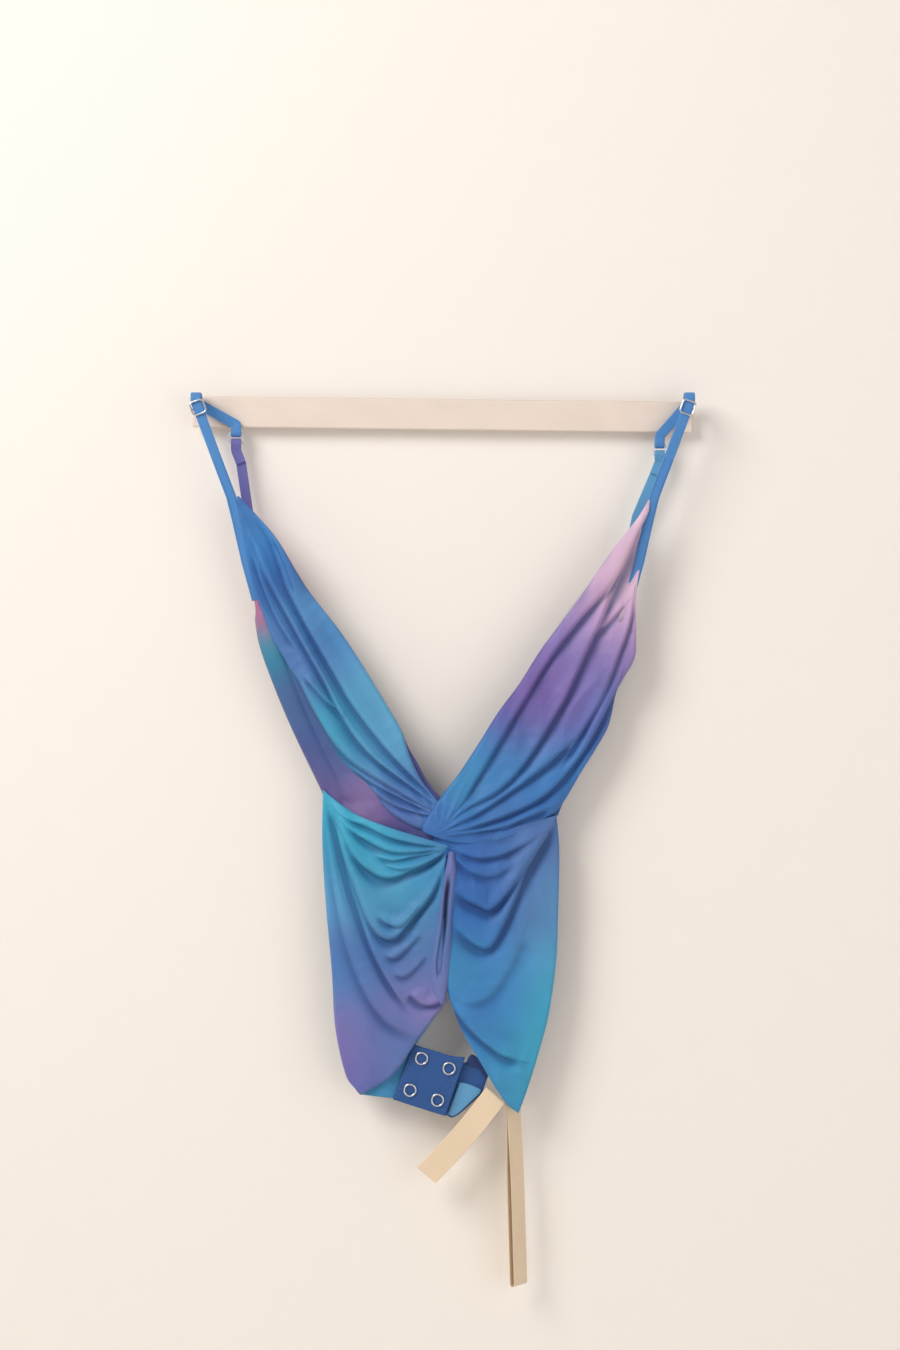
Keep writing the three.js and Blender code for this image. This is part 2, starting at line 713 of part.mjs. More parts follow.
const capAt = gussetThickness / 2 + layerGap;
const openRing = (y) => turned([
    [capRadius - capBand, y], [capRadius, y],
    [capRadius, y + capThickness], [capRadius - capBand, y + capThickness],
]);
const boreRadius = noseRadius + snapClearance;
const socket = () => turned([
    [0, socketFront], [socketRadius, socketFront], [socketRadius, socketMouth],
    [boreRadius, socketMouth], [boreRadius, socketFront + socketFloor], [0, socketFront + socketFloor],
]);
const stud = () => turned([
    [0, socketMouth - noseDepth], [noseRadius, socketMouth - noseDepth], [noseRadius, studFront],
    [socketRadius, studFront], [socketRadius, studFront + studBase], [0, studFront + studBase],
]);

const snapPlaces = [[-1, 1], [1, 1], [-1, -1], [1, -1]];
snapPlaces.forEach(([across, up], i) => {
    const pieces = [
        add(gusset, `snap_cap_${i + 1}`, openRing(-capAt - capThickness), colours.silver, 0.25, 1),
        add(gusset, `snap_socket_${i + 1}`, socket(), colours.silver, 0.3, 1),
        add(gusset, `snap_stud_${i + 1}`, stud(), colours.silver, 0.3, 1),
        add(gusset, `snap_post_${i + 1}`, openRing(backTabY + capAt), colours.silver, 0.3, 1),
    ];
    pieces.forEach((piece) => piece.position.set(across * snapSpacingX / 2, 0, up * snapSpacingZ / 2));
});

// ---- Ribbon loops ----------------------------------------------------------------------

const closedLoop = ribbonThickness + layerGap;

// Two plies of one ribbon, sewn together at the top and folded at the bottom.
function loopPath(length, open) {
    const gap = (t) => mix(closedLoop, open, ease(t, 0.1, 0.5));
    const steps = 10;
    const ply = (face) => Array.from({ length: steps + 1 }, (_, i) => {
        const t = i / steps;
        return new THREE.Vector3(0, face * gap(t) / 2, -t * length);
    });
    const fold = arc(0, -length, gap(1) / 2, 0, Math.PI, Math.PI * 2, 6).slice(1, -1);
    return [...ply(-1), ...fold, ...ply(1).reverse()];
}

function ribbonLoop(name, x, y, drop, length, lean, open, turnAt) {
    const geometry = band(loopPath(length, open), ribbonWidth, ribbonThickness);
    const places = geometry.attributes.position;
    const corner = new THREE.Vector3();
    for (let i = 0; i < places.count; i += 1) {
        corner.fromBufferAttribute(places, i);
        corner.applyAxisAngle(new THREE.Vector3(0, 0, 1), turnAt(-corner.z));
        places.setXYZ(i, corner.x, corner.y, corner.z);
    }
    const mesh = add(model, name, geometry, colours.nude);
    mesh.position.set(x, y, -drop);
    mesh.rotation.y = lean;
}

const panelY = frontY(shortLoopX, shortLoopDrop);
const shortLoopY = panelY + (drapeThickness + closedLoop + ribbonThickness) / 2 + loopGap;
const longLoopY = shortLoopY + closedLoop + ribbonThickness + layerGap;
const longTurn = (down) => longLoopTurn * ease(down, longLoopFlat, longLoopFlat * 2.5);
ribbonLoop('hanger_loop_short', shortLoopX, shortLoopY, shortLoopDrop, shortLoopLength, shortLoopLean,
    closedLoop, () => 0);
ribbonLoop('hanger_loop_long', longLoopX, longLoopY, longLoopDrop, longLoopLength, longLoopLean,
    longLoopOpen, longTurn);

export default model;
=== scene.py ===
"""Twist-front bodysuit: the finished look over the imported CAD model.

Metres, +Z up, front to -Y. Right and left are the wearer's, so right is -X.
"""

import bpy
import numpy as np
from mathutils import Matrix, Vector


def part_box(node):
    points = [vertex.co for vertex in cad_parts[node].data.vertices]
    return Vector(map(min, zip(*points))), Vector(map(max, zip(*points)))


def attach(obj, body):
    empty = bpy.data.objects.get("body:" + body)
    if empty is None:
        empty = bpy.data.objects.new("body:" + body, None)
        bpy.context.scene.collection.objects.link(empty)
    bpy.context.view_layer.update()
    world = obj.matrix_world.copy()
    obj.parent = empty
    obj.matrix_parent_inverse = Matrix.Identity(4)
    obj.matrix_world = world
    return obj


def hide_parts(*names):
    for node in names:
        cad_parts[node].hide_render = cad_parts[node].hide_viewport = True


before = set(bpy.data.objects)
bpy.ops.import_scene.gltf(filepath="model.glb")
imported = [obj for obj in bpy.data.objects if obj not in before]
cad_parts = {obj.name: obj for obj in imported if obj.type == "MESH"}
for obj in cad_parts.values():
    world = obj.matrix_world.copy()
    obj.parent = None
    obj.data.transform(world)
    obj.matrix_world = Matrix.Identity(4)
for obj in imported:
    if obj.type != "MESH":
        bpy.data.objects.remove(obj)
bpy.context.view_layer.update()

bl_info = {
    "name": "Twist-front bodysuit",
    "version": (1, 0, 0),
    "blender": (4, 2, 0),
    "location": "View3D > Sidebar > Bodysuit",
    "description": "Builds the cloth, straps, snaps and ribbons of a twist-front bodysuit",
    "category": "Object",
}

MM = 0.001
SIDES = {"right": -1, "left": 1}
BUST_HALF, WAIST_HALF = 131, 82.5                     # half widths, in mm
BUST_DROP, WAIST_DROP, TWIST_DROP, HEM_DROP = 178, 281, 311, 475.5     # below the hanger, in mm
OUTER_PLY = 9.7 * MM      # depth of the strap's outer ply, front and back
INNER_PLY = 8.0 * MM
SLIDER_RUN = (25.4, 68.5)      # across and down the straight strap that a slider rides
SLIDER_WIRE, RING_WIRE = 1.35 * MM, 1.6 * MM
RIBBON_THICKNESS = 0.45 * MM
SHORT_LEAN = np.radians(40.6)
LONG_LEAN = np.radians(-1.7)
LONG_TWIST = np.radians(56)
KNOT = (-2.7 * MM, -306.7 * MM)      # where the cups' folds run together
PLEAT_TOP = (3.4 * MM, -310 * MM)    # where the panels' folds do
VALLEY_WIDTH, VALLEY_DEPTH = 0.8, 1.25      # of a fold, against its ridge's
FOLD_LIMITS = (5.6 * MM, 3.6 * MM)          # forward and back
CLOTH = 0.6 * MM                            # thickness of the draped cloth

# Shades of the dyed cloth, as screen colours.
SHADES = {
    "blush": 0xE0C2D6, "pink": 0xCDA8C6, "rose": 0xC47CA8, "mauve": 0xA488BC,
    "lilac": 0x8A79B6, "violet": 0x7059A2, "indigo": 0x5058A0, "slate": 0x5274AE,
    "denim": 0x3E6CAE, "royal": 0x2A62AC, "azure": 0x3C80BE, "sky": 0x5A98C8,
    "aqua": 0x5FA9CC, "teal": 0x3CA6C6, "sea": 0x378CB4,
}


def sidebar(name):
    """A size from the sidebar, to the nearest micrometre."""
    return round(getattr(bpy.context.scene.bodysuit, name), 6)


# ---- Curves and surfaces ---------------------------------------------------------------

def resample(path, count):
    """The same polyline with count points at equal steps of length."""
    length = np.r_[0, np.cumsum(np.linalg.norm(np.diff(path, axis=0), axis=1))]
    at = np.linspace(0, length[-1], count)
    return np.column_stack([np.interp(at, length, path[:, k]) for k in range(path.shape[1])])


def curve(points, count=80):
    """A Catmull-Rom cubic through the points: each span blends its two ends with slopes
    that are half the step between their neighbours."""
    p = np.asarray(points, float)
    ends = np.vstack([2 * p[0] - p[1], p, 2 * p[-1] - p[-2]])
    t = np.linspace(0, len(p) - 1, 30 * len(p))
    i = np.minimum(t.astype(int), len(p) - 2)
    f = (t - i)[:, None]
    a, b, c, d = (ends[i + k] for k in range(4))
    path = 0.5 * (2 * b + (c - a) * f + (2 * a - 5 * b + 4 * c - d) * f**2
                  + (3 * b - a - 3 * c + d) * f**3)
    return resample(path, count)


def edge(*stretches, count=400):
    """Smooth stretches that meet at corners, as one path."""
    return resample(np.vstack([curve(s, 160) for s in stretches]), count)


def place(node, line):
    """(x, z) of points written 'across down, ...' in percent of a CAD node's box."""
    low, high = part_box(node)
    f = np.array([point.split() for point in line.split(",")], float) / 100
    return np.column_stack([low.x + f[:, 0] * (high.x - low.x), high.z - f[:, 1] * (high.z - low.z)])


def ease(value, start, end):
    """Smooth step: 3 t^2 - 2 t^3, where t runs from 0 at the start to 1 at the end."""
    t = np.clip((value - start) / (end - start), 0, 1)
    return t * t * (3 - 2 * t)


def crown_share(x, drop):
    """How much of the crown stands at x: 1 - (x / half width)^2, with a half width that runs
    straight from the bust's to the waist's."""
    down = np.clip((drop - BUST_DROP) / (WAIST_DROP - BUST_DROP), 0, 1)
    half = (BUST_HALF + (WAIST_HALF - BUST_HALF) * down) * MM
    return np.maximum(0, 1 - (x / half) ** 2)


def front_y(x, z):
    """Y of the middle of the outer cloth: a seam line plus a crown that falls off with the
    square of the distance from the centre line."""
    drop = -z / MM
    seam = 9.7 + (5.5 - 9.7) * ease(drop, 72, WAIST_DROP)
    upper = 7 + 9 * ease(drop, BUST_DROP, TWIST_DROP)
    crown = upper + (5 - upper) * ease(drop, TWIST_DROP, HEM_DROP)
    return -(seam + crown * crown_share(x, drop)) * MM


def back_y(x, z):
    """Y of the mesh layer's middle at the back."""
    drop = -z / MM
    return (0.6 + 9 * crown_share(x, drop) * (1 - ease(drop, WAIST_DROP, HEM_DROP))) * MM


def beside(x, z, line, count=44):
    """Signed distance from a path (left of its direction is positive) and the fraction of
    the way along it, for every point."""
    path = curve(line, count)
    start, step = path[:-1], np.diff(path, axis=0)
    gap_x = x[..., None] - start[:, 0]
    gap_z = z[..., None] - start[:, 1]
    f = np.clip((gap_x * step[:, 0] + gap_z * step[:, 1]) / (step**2).sum(1), 0, 1)
    dx, dz = gap_x - f * step[:, 0], gap_z - f * step[:, 1]
    gap = np.hypot(dx, dz)
    near = gap.argmin(-1)[..., None]
    side = np.sign(step[:, 0] * dz - step[:, 1] * dx)
    take = lambda v: np.take_along_axis(v, near, -1)[..., 0]
    return take(gap) * take(side), (near[..., 0] + take(f)) / len(step)


def fold(x, z, line, widths, depths):
    """How far a fold stands forward: depth * tanh(6 s / w) * exp(-(s / w)^2), where s is the
    distance to the left of its line, so a round ridge drops sharply into a narrower valley.
    Width and depth run from the first value at its start to the second at its end."""
    s, t = beside(x, z, line)
    w = (widths[0] + (widths[1] - widths[0]) * t) * MM
    w = w * (1 + 0.15 * np.sin(9 * t + 40 * line[0][0])) * np.where(s > 0, 1, VALLEY_WIDTH)
    d = (depths[0] + (depths[1] - depths[0]) * t) * MM * np.where(s > 0, 1, VALLEY_DEPTH)
    fade = ease(t, -0.02, 0.2) * (1 - 0.85 * ease(t, 0.86, 1.02))
    return d * fade * np.tanh(6 * s / w) * np.exp(-((s / w) ** 2))


def pleats(x, z, middle, count, depth, reach, seed):
    """Fine pleats that spread from a point: depth * exp(-r / reach) * (1 - 2 |sin(n a + b)|),
    where a is the direction from the point and b drifts with the distance."""
    dx, dz = x - middle[0], z - middle[1]
    r, a = np.hypot(dx, dz), np.arctan2(dz, dx)
    drift = 1.3 * np.sin(a * 3 + seed) + r / (18 * MM) * 0.25 * np.sin(5 * a + seed)
    wave = 1 - 2 * np.abs(np.sin(count * a + drift))
    return depth * MM * wave * np.exp(-r / (reach * MM)) * ease(r, 8 * MM, 20 * MM)


def groove(x, z, line, width, depth):
    """A crease: depth * exp(-(s / w)^2), fading out at both ends."""
    s, t = beside(x, z, line)
    return depth * MM * np.exp(-((s / (width * MM)) ** 2)) * ease(t, 0, 0.2) * (1 - ease(t, 0.8, 1))


def ripple(x, z, sizes, seed):
    """Gentle unevenness: a sum of sine waves of the given sizes (mm) in random directions."""
    rng = np.random.default_rng(seed)
    total = np.zeros_like(x)
    for size in sizes:
        angle, phase = rng.uniform(0, np.pi), rng.uniform(0, 6.28)
        total += np.sin(6.283 * (x * np.cos(angle) + z * np.sin(angle)) / (size * MM) + phase)
    return total / len(sizes)


def crumple(x, z, seed):
    """Small random creases: sharp-crested waves 1 - 2 |sin(k . p)| over warped ground, each
    strong in some places and absent in others."""
    rng = np.random.default_rng(seed)
    total = np.zeros_like(x)
    wx = x + 4 * MM * np.sin(z / (11 * MM) + seed)
    wz = z + 4 * MM * np.sin(x / (13 * MM) + 2 * seed)
    for size in (31, 22, 15, 10):
        angle, phase, drift = rng.uniform(0, np.pi), rng.uniform(0, 6.28), rng.uniform(0, 6.28)
        along = wx * np.cos(angle) + wz * np.sin(angle)
        apart = wx * np.sin(angle) + wz * np.cos(angle * 2)
        wave = 1 - 2 * np.abs(np.sin(np.pi * along / (size * MM) + phase))
        mask = 0.5 + 0.5 * np.sin(apart / (1.4 * size * MM) + drift)
        total += wave * mask**2 * size / 31
    return total * 0.7 * MM


def smoothed(values, steps):
    """A grid blurred by averaging each point with its neighbours, many times over."""
    for _ in range(steps):
        padded = np.pad(values, 1, mode="edge")
        values = (padded[:-2, 1:-1] + padded[2:, 1:-1] + padded[1:-1, :-2] + padded[1:-1, 2:]) / 4
    return values


def painted_fold_shade(height):
    """Painted shade: the cloth's colour is made darker and bluer where it lies lower than the cloth
    around it, both beside it and further off, as shade falls in its folds."""
    level = smoothed(height, 2)
    near = np.clip((smoothed(height, 50) - level) / (1.2 * MM), 0, 1)
    wide = np.clip((smoothed(height, 260) - level) / (2.2 * MM), 0, 1)
    light = 1 - 0.24 * near - 0.26 * wide
    return np.stack([light**1.35, light, light**0.7], -1)


def settle(height, forward, back):
    """Keeps a height between limits by tanh, so that folds never reach the layer behind."""
    return np.where(height > 0, forward * np.tanh(height / forward), back * np.tanh(height / back))


def linear(code):
    """A screen colour as linear RGB."""
    c = np.array([code >> 16 & 255, code >> 8 & 255, code & 255]) / 255
    return np.where(c > 0.04045, ((c + 0.055) / 1.055) ** 2.4, c / 12.92)


def dyed(x, z, node, spots, spread=0.13):
    """Dye colour, with painted shade where a table sets dark spots for it: the mean of the spots'
    shades, weighted by exp(-(distance / spread)^2) with distance in fractions of the node's box
    height. Spots are 'across down shade, ...'."""
    low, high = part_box(node)
    size = high.z - low.z
    u, v = (x - low.x) / (high.x - low.x), (high.z - z) / size
    ratio = (high.x - low.x) / size
    total, weight = np.zeros(x.shape + (3,)), np.full(x.shape, 1e-9)
    for across, down, shade in (spot.split() for spot in spots.split(",")):
        away = ((u - float(across) / 100) * ratio) ** 2 + (v - float(down) / 100) ** 2
        w = np.exp(-away / spread**2) + 1e-7
        total += w[..., None] * linear(SHADES[shade])
        weight += w
    return total / weight[..., None]


def new_object(name, verts, faces, uv=None, dye_and_shade=None, smooth=True):
    """A mesh object from vertex and face arrays, with UVs in metres and a dye colour that can carry
    painted shade.
    """
    mesh = bpy.data.meshes.new(name)
    mesh.from_pydata(np.asarray(verts).tolist(), [], [list(f) for f in faces])
    mesh.update()
    if uv is not None:
        layer = mesh.uv_layers.new(name="cloth")
        loops = np.zeros(len(mesh.loops), int)
        mesh.loops.foreach_get("vertex_index", loops)
        layer.data.foreach_set("uv", np.asarray(uv)[loops].astype(np.float32).ravel())
    if dye_and_shade is not None:
        # This colour holds the dye with the painted shade of the folds and the slit.
        colour = mesh.color_attributes.new("dye_and_shade", "FLOAT_COLOR", "POINT")
        rgba = np.column_stack([dye_and_shade, np.ones(len(dye_and_shade))]).astype(np.float32)
        colour.data.foreach_set("color", rgba.ravel())
    mesh.polygons.foreach_set("use_smooth", np.full(len(mesh.polygons), smooth))
    obj = bpy.data.objects.new(name, mesh)
    bpy.context.scene.collection.objects.link(obj)
    return obj


def shell(name, front, thickness, dye_and_shade=None, back=None):
    """A closed sheet from a grid of points, rows running down and columns to +X: the grid,
    a copy moved back along Y (or the given one), and a rim between them."""
    rows, columns = front.shape[:2]
    rear = back if back is not None else front + np.array([0, thickness, 0])
    verts = np.vstack([front.reshape(-1, 3), rear.reshape(-1, 3)])
    n = rows * columns
    i = np.arange(n).reshape(rows, columns)
    quad = lambda a, b, c, d: np.stack([a, b, c, d], -1).reshape(-1, 4)
    faces = [quad(i[:-1, :-1], i[1:, :-1], i[1:, 1:], i[:-1, 1:]),
             quad(n + i[:-1, :-1], n + i[:-1, 1:], n + i[1:, 1:], n + i[1:, :-1])]
    rim = np.r_[i[:-1, 0], i[-1, :-1], i[1:, -1][::-1], i[0, 1:][::-1]]
    after = np.roll(rim, -1)
    faces.append(quad(rim, rim + n, after + n, after))
    step_u = np.linalg.norm(np.diff(front, axis=1), axis=2)
    step_v = np.linalg.norm(np.diff(front, axis=0), axis=2)
    u = np.hstack([np.zeros((rows, 1)), np.cumsum(step_u, 1)])
    v = np.vstack([np.zeros((1, columns)), np.cumsum(step_v, 0)])
    uv = np.column_stack([u.ravel(), v.ravel()])
    colour = None if dye_and_shade is None else np.vstack([dye_and_shade.reshape(-1, 3)] * 2)
    return new_object(name, verts, np.vstack(faces), np.vstack([uv, uv]), colour)


def ruled(left, right, columns, rows):
    """x and z over a grid: straight across from a left edge to a right edge."""
    a, b = resample(left, rows), resample(right, rows)
    u = np.linspace(0, 1, columns)[None, :, None]
    grid = a[:, None] * (1 - u) + b[:, None] * u
    return grid[..., 0], grid[..., 1]


def rolled(x, z, radius):
    """How far the side edges of a grid curl back: a quarter circle over the radius."""
    width = np.hypot(np.diff(x, axis=1), np.diff(z, axis=1))
    along = np.hstack([np.zeros((len(x), 1)), np.cumsum(width, 1)])
    gap = np.minimum(along, along[:, -1:] - along)
    f = np.clip(1 - gap / (radius * MM), 0, 1)
    return radius * MM * (1 - np.sqrt(1 - f * f * 0.98))


def frames(path, across):
    """Unit vectors along a path, across it (nearest to the given direction) and out."""
    along = np.gradient(path, axis=0)
    along /= np.linalg.norm(along, axis=1, keepdims=True)
    side = np.asarray(across, float) - along * (along @ np.asarray(across, float))[:, None]
    side /= np.linalg.norm(side, axis=1, keepdims=True)
    return along, side, np.cross(along, side)


def rounded(width, thickness, count=16, power=0.35):
    """Section of a flat band: x = w/2 cos|cos|^(p-1), y = t/2 sin|sin|^(p-1)."""
    a = np.linspace(0, 2 * np.pi, count, endpoint=False)
    c, s = np.cos(a), np.sin(a)
    return np.column_stack([width / 2 * np.sign(c) * abs(c) ** power,
                            thickness / 2 * np.sign(s) * abs(s) ** power])


def sweep(name, path, section, across=(1, 0, 0), closed=False, turn=None):
    """A section carried along a path: P(i, j) = path(i) + a(j) across(i) + b(j) out(i)."""
    path = np.asarray(path, float)
    if closed:
        wrapped = np.vstack([path[-1:], path, path[:1]])
        side, out = (v[1:-1] for v in frames(wrapped, across)[1:])
    else:
        side, out = frames(path, across)[1:]
    grid = path[:, None] + section[:, 0, None] * side[:, None] + section[:, 1, None] * out[:, None]
    if turn is not None:
        grid = turn(grid)
    rows, n = len(path), len(section)
    i = np.arange(rows * n).reshape(rows, n)
    ring = np.roll(i, -1, 1)
    if closed:
        a, b, c, d = i, np.roll(i, -1, 0), np.roll(ring, -1, 0), ring
    else:
        a, b, c, d = i[:-1], i[1:], ring[1:], ring[:-1]
    faces = np.stack([a, d, c, b], -1).reshape(-1, 4).tolist()
    if not closed:
        faces += [i[0][::-1].tolist(), i[-1].tolist()]
    length = np.r_[0, np.cumsum(np.linalg.norm(np.diff(path, axis=0), axis=1))]
    uv = np.stack(np.broadcast_arrays(section[None, :, 0], length[:, None]), -1).reshape(-1, 2)
    return new_object(name, grid.reshape(-1, 3), faces, uv)


def join(name, *objects):
    """One object from several."""
    verts, faces, uv, count = [], [], [], 0
    for obj in objects:
        mesh = obj.data
        co = np.zeros(len(mesh.vertices) * 3, np.float32)
        mesh.vertices.foreach_get("co", co)
        verts.append(co.reshape(-1, 3))
        faces += [[v + count for v in p.vertices] for p in mesh.polygons]
        flat = np.zeros((len(mesh.vertices), 2))
        if mesh.uv_layers:
            loops = np.zeros(len(mesh.loops), int)
            mesh.loops.foreach_get("vertex_index", loops)
            values = np.zeros(len(mesh.loops) * 2, np.float32)
            mesh.uv_layers[0].data.foreach_get("uv", values)
            flat[loops] = values.reshape(-1, 2)
        uv.append(flat)
        count += len(mesh.vertices)
        bpy.data.objects.remove(obj)
        bpy.data.meshes.remove(mesh)
    return new_object(name, np.vstack(verts), faces, np.vstack(uv))


def stitch_row(name, path, out, pitch=2.4 * MM, thick=0.32 * MM, lift=0.12 * MM):
    """Stitches lying along a path: each is a half-sunk oval bead of thread, an ellipsoid
    with x = cos a cos b, y = sin a cos b, z = sin b, about 70% of the pitch long."""
    length = np.linalg.norm(np.diff(path, axis=0), axis=1).sum()
    count = max(2, int(length / pitch))
    middle = resample(np.asarray(path, float), 2 * count + 1)[1::2]
    along = frames(middle, np.cross(out, (0.3, 0.1, 1)))[0]
    up = np.broadcast_to(np.asarray(out, float), middle.shape)
    side = np.cross(along, up)
    sides, rings = 6, (-0.9, 0, 0.9)
    a, b = np.tile(np.linspace(0, 2 * np.pi, sides, endpoint=False), 3), np.repeat(rings, sides)
    ball = np.column_stack([np.sin(b), np.cos(b) * np.cos(a), np.cos(b) * np.sin(a)])
    ball = np.vstack([[-1, 0, 0], ball, [1, 0, 0]])
    size = np.array([0.36 * pitch, thick / 2, thick / 2])
    basis = np.stack([along, side, up], 1)
    verts = middle[:, None] + (ball * size) @ basis + up[:, None] * lift
    first, second, third = (1 + ring * sides + np.arange(sides) for ring in range(3))
    after = lambda ring: np.roll(ring, -1)
    tip = len(ball) - 1
    faces = [[0, b, a] for a, b in zip(first, after(first))]
    for near, far in ((first, second), (second, third)):
        faces += np.column_stack([near, after(near), after(far), far]).tolist()
    faces += [[tip, a, b] for a, b in zip(third, after(third))]
    every = [[v + i * len(ball) for v in face] for i in range(count) for face in faces]
    return new_object(name, verts.reshape(-1, 3), every)


# ---- Materials -------------------------------------------------------------------------

def blank(name):
    """A new node material with its tree's parts."""
    material = bpy.data.materials.new(name)
    material.use_nodes = True
    tree = material.node_tree
    return material, tree.nodes, tree.links, tree.nodes["Principled BSDF"]


def cloth_material(name, colour=None, roughness=0.55, sheen=0.12, weave=0.5 * MM,
                   crumple=0.3, ribs=0.0):
    """Woven or knitted cloth: crossed threads across the UVs, faint mottling and small
    crumples. With no colour it takes the piece's dye colour, with its painted shade."""
    material, nodes, links, bsdf = blank(name)
    if colour is None:
        base = nodes.new("ShaderNodeVertexColor")
        base.layer_name = "dye_and_shade"
    else:
        base = nodes.new("ShaderNodeRGB")
        base.outputs[0].default_value = (*colour, 1)
    coords = nodes.new("ShaderNodeTexCoord")
    mottle = nodes.new("ShaderNodeTexNoise")
    mottle.inputs["Scale"].default_value = 45
    mottle.inputs["Detail"].default_value = 4
    links.new(coords.outputs["Object"], mottle.inputs["Vector"])
    shade = nodes.new("ShaderNodeMapRange")
    shade.inputs["To Min"].default_value = 0.93
    shade.inputs["To Max"].default_value = 1.07
    links.new(mottle.outputs["Fac"], shade.inputs["Value"])
    tint = nodes.new("ShaderNodeVectorMath")
    tint.operation = "SCALE"
    links.new(base.outputs[0], tint.inputs[0])
    links.new(shade.outputs[0], tint.inputs["Scale"])
    links.new(tint.outputs[0], bsdf.inputs["Base Color"])
    bsdf.inputs["Roughness"].default_value = roughness
    bsdf.inputs["Sheen Weight"].default_value = sheen
    bsdf.inputs["Sheen Roughness"].default_value = 0.4
    bsdf.inputs["Specular IOR Level"].default_value = 0.35
    normal = None
    for axis, strength in (("X", 0.25), ("Y", 0.25 + ribs)):
        threads = nodes.new("ShaderNodeTexWave")
        threads.bands_direction = axis
        threads.inputs["Scale"].default_value = 0.314 / (weave * (4 if ribs and axis == "Y" else 1))
        links.new(coords.outputs["UV"], threads.inputs["Vector"])
        normal = bump(nodes, links, threads.outputs["Fac"], 0.05 * MM, strength, normal)
    for size, height in ((9, 0.8), (3, 0.25)):
        noise = nodes.new("ShaderNodeTexNoise")
        noise.inputs["Scale"].default_value = 1000 / size
        noise.inputs["Detail"].default_value = 3
        links.new(coords.outputs["Object"], noise.inputs["Vector"])
        normal = bump(nodes, links, noise.outputs["Fac"], height * MM, crumple, normal)
    links.new(normal, bsdf.inputs["Normal"])
    return material


def bump(nodes, links, height, distance, strength, before=None):
    """A bump of one height map over any bump before it."""
    node = nodes.new("ShaderNodeBump")
    node.inputs["Distance"].default_value = distance
    node.inputs["Strength"].default_value = strength
    links.new(height, node.inputs["Height"])
    if before is not None:
        links.new(before, node.inputs["Normal"])
    return node.outputs[0]


def metal_material(name, colour, roughness):
    """Polished plating with faint handling marks."""
    material, nodes, links, bsdf = blank(name)
    coords = nodes.new("ShaderNodeTexCoord")
    noise = nodes.new("ShaderNodeTexNoise")
    noise.inputs["Scale"].default_value = 900
    noise.inputs["Detail"].default_value = 5
    links.new(coords.outputs["Object"], noise.inputs["Vector"])
    spread = nodes.new("ShaderNodeMapRange")
    spread.inputs["To Min"].default_value = roughness * 0.7
    spread.inputs["To Max"].default_value = roughness * 1.5
    links.new(noise.outputs["Fac"], spread.inputs["Value"])
    links.new(spread.outputs[0], bsdf.inputs["Roughness"])
    bsdf.inputs["Base Color"].default_value = (*linear(colour), 1)
    bsdf.inputs["Metallic"].default_value = 1
    links.new(bump(nodes, links, noise.outputs["Fac"], 0.02 * MM, 0.2), bsdf.inputs["Normal"])
    return material


def clear_material(name):
    """Clear moulded plastic, slightly uneven."""
    material, nodes, links, bsdf = blank(name)
    coords = nodes.new("ShaderNodeTexCoord")
    noise = nodes.new("ShaderNodeTexNoise")
    noise.inputs["Scale"].default_value = 500
    links.new(coords.outputs["Object"], noise.inputs["Vector"])
    bsdf.inputs["Base Color"].default_value = (0.93, 0.95, 0.97, 1)
    bsdf.inputs["Roughness"].default_value = 0.12
    bsdf.inputs["Transmission Weight"].default_value = 0.75
    bsdf.inputs["IOR"].default_value = 1.45
    links.new(bump(nodes, links, noise.outputs["Fac"], 0.05 * MM, 0.15), bsdf.inputs["Normal"])
    return material


def wall_material(name, colour):
    """Matt emulsion paint with a faint roller texture, seen from the front only."""
    material, nodes, links, bsdf = blank(name)
    coords = nodes.new("ShaderNodeTexCoord")
    noise = nodes.new("ShaderNodeTexNoise")
    noise.inputs["Scale"].default_value = 260
    links.new(coords.outputs["Object"], noise.inputs["Vector"])
    bsdf.inputs["Base Color"].default_value = (*linear(colour), 1)
    bsdf.inputs["Roughness"].default_value = 0.8
    bsdf.inputs["Specular IOR Level"].default_value = 0.15
    links.new(bump(nodes, links, noise.outputs["Fac"], 0.2 * MM, 0.1), bsdf.inputs["Normal"])
    facing = nodes.new("ShaderNodeNewGeometry")
    clear = nodes.new("ShaderNodeBsdfTransparent")
    mix = nodes.new("ShaderNodeMixShader")
    links.new(facing.outputs["Backfacing"], mix.inputs["Fac"])
    links.new(bsdf.outputs[0], mix.inputs[1])
    links.new(clear.outputs[0], mix.inputs[2])
    links.new(mix.outputs[0], nodes["Material Output"].inputs["Surface"])
    return material


# Colour on screen and finish of each plain cloth, by its material's name.
CLOTHS = {
    "blue_strap": (0x4C86C4, {"roughness": 0.5, "crumple": 0.15}),
    "violet_strap": (0x6E6CB0, {"roughness": 0.5, "crumple": 0.15}),
    "pale_strap": (0x5F9CC8, {"roughness": 0.5, "crumple": 0.15}),
    "tab_cloth": (0x2A5390, {"roughness": 0.6, "crumple": 0.6}),
    "leg_binding": (0x24386A, {"roughness": 0.6}),
    "mesh_lining": (0xDAD6DC, {"roughness": 0.7, "weave": 1.2 * MM}),
    "elastic_tape": (0xE8E6E0, {"roughness": 0.6, "weave": 0.8 * MM}),
    "band_elastic": (0xE6D6CA, {"roughness": 0.6, "sheen": 0.4, "weave": 0.4 * MM, "crumple": 0.1,
                                "ribs": 0.3}),
    "satin_ribbon": (0xE9D2B4, {"roughness": 0.42, "sheen": 0.4, "weave": 0.25 * MM,
                                "crumple": 0.12}),
    "blue_thread": (0x2E5E9E, {"roughness": 0.6, "weave": 0.2 * MM}),
    "pale_thread": (0x4F7FB6, {"roughness": 0.6, "weave": 0.2 * MM}),
    "nude_thread": (0xCDB597, {"roughness": 0.6, "weave": 0.2 * MM}),
}
MATERIALS = {}


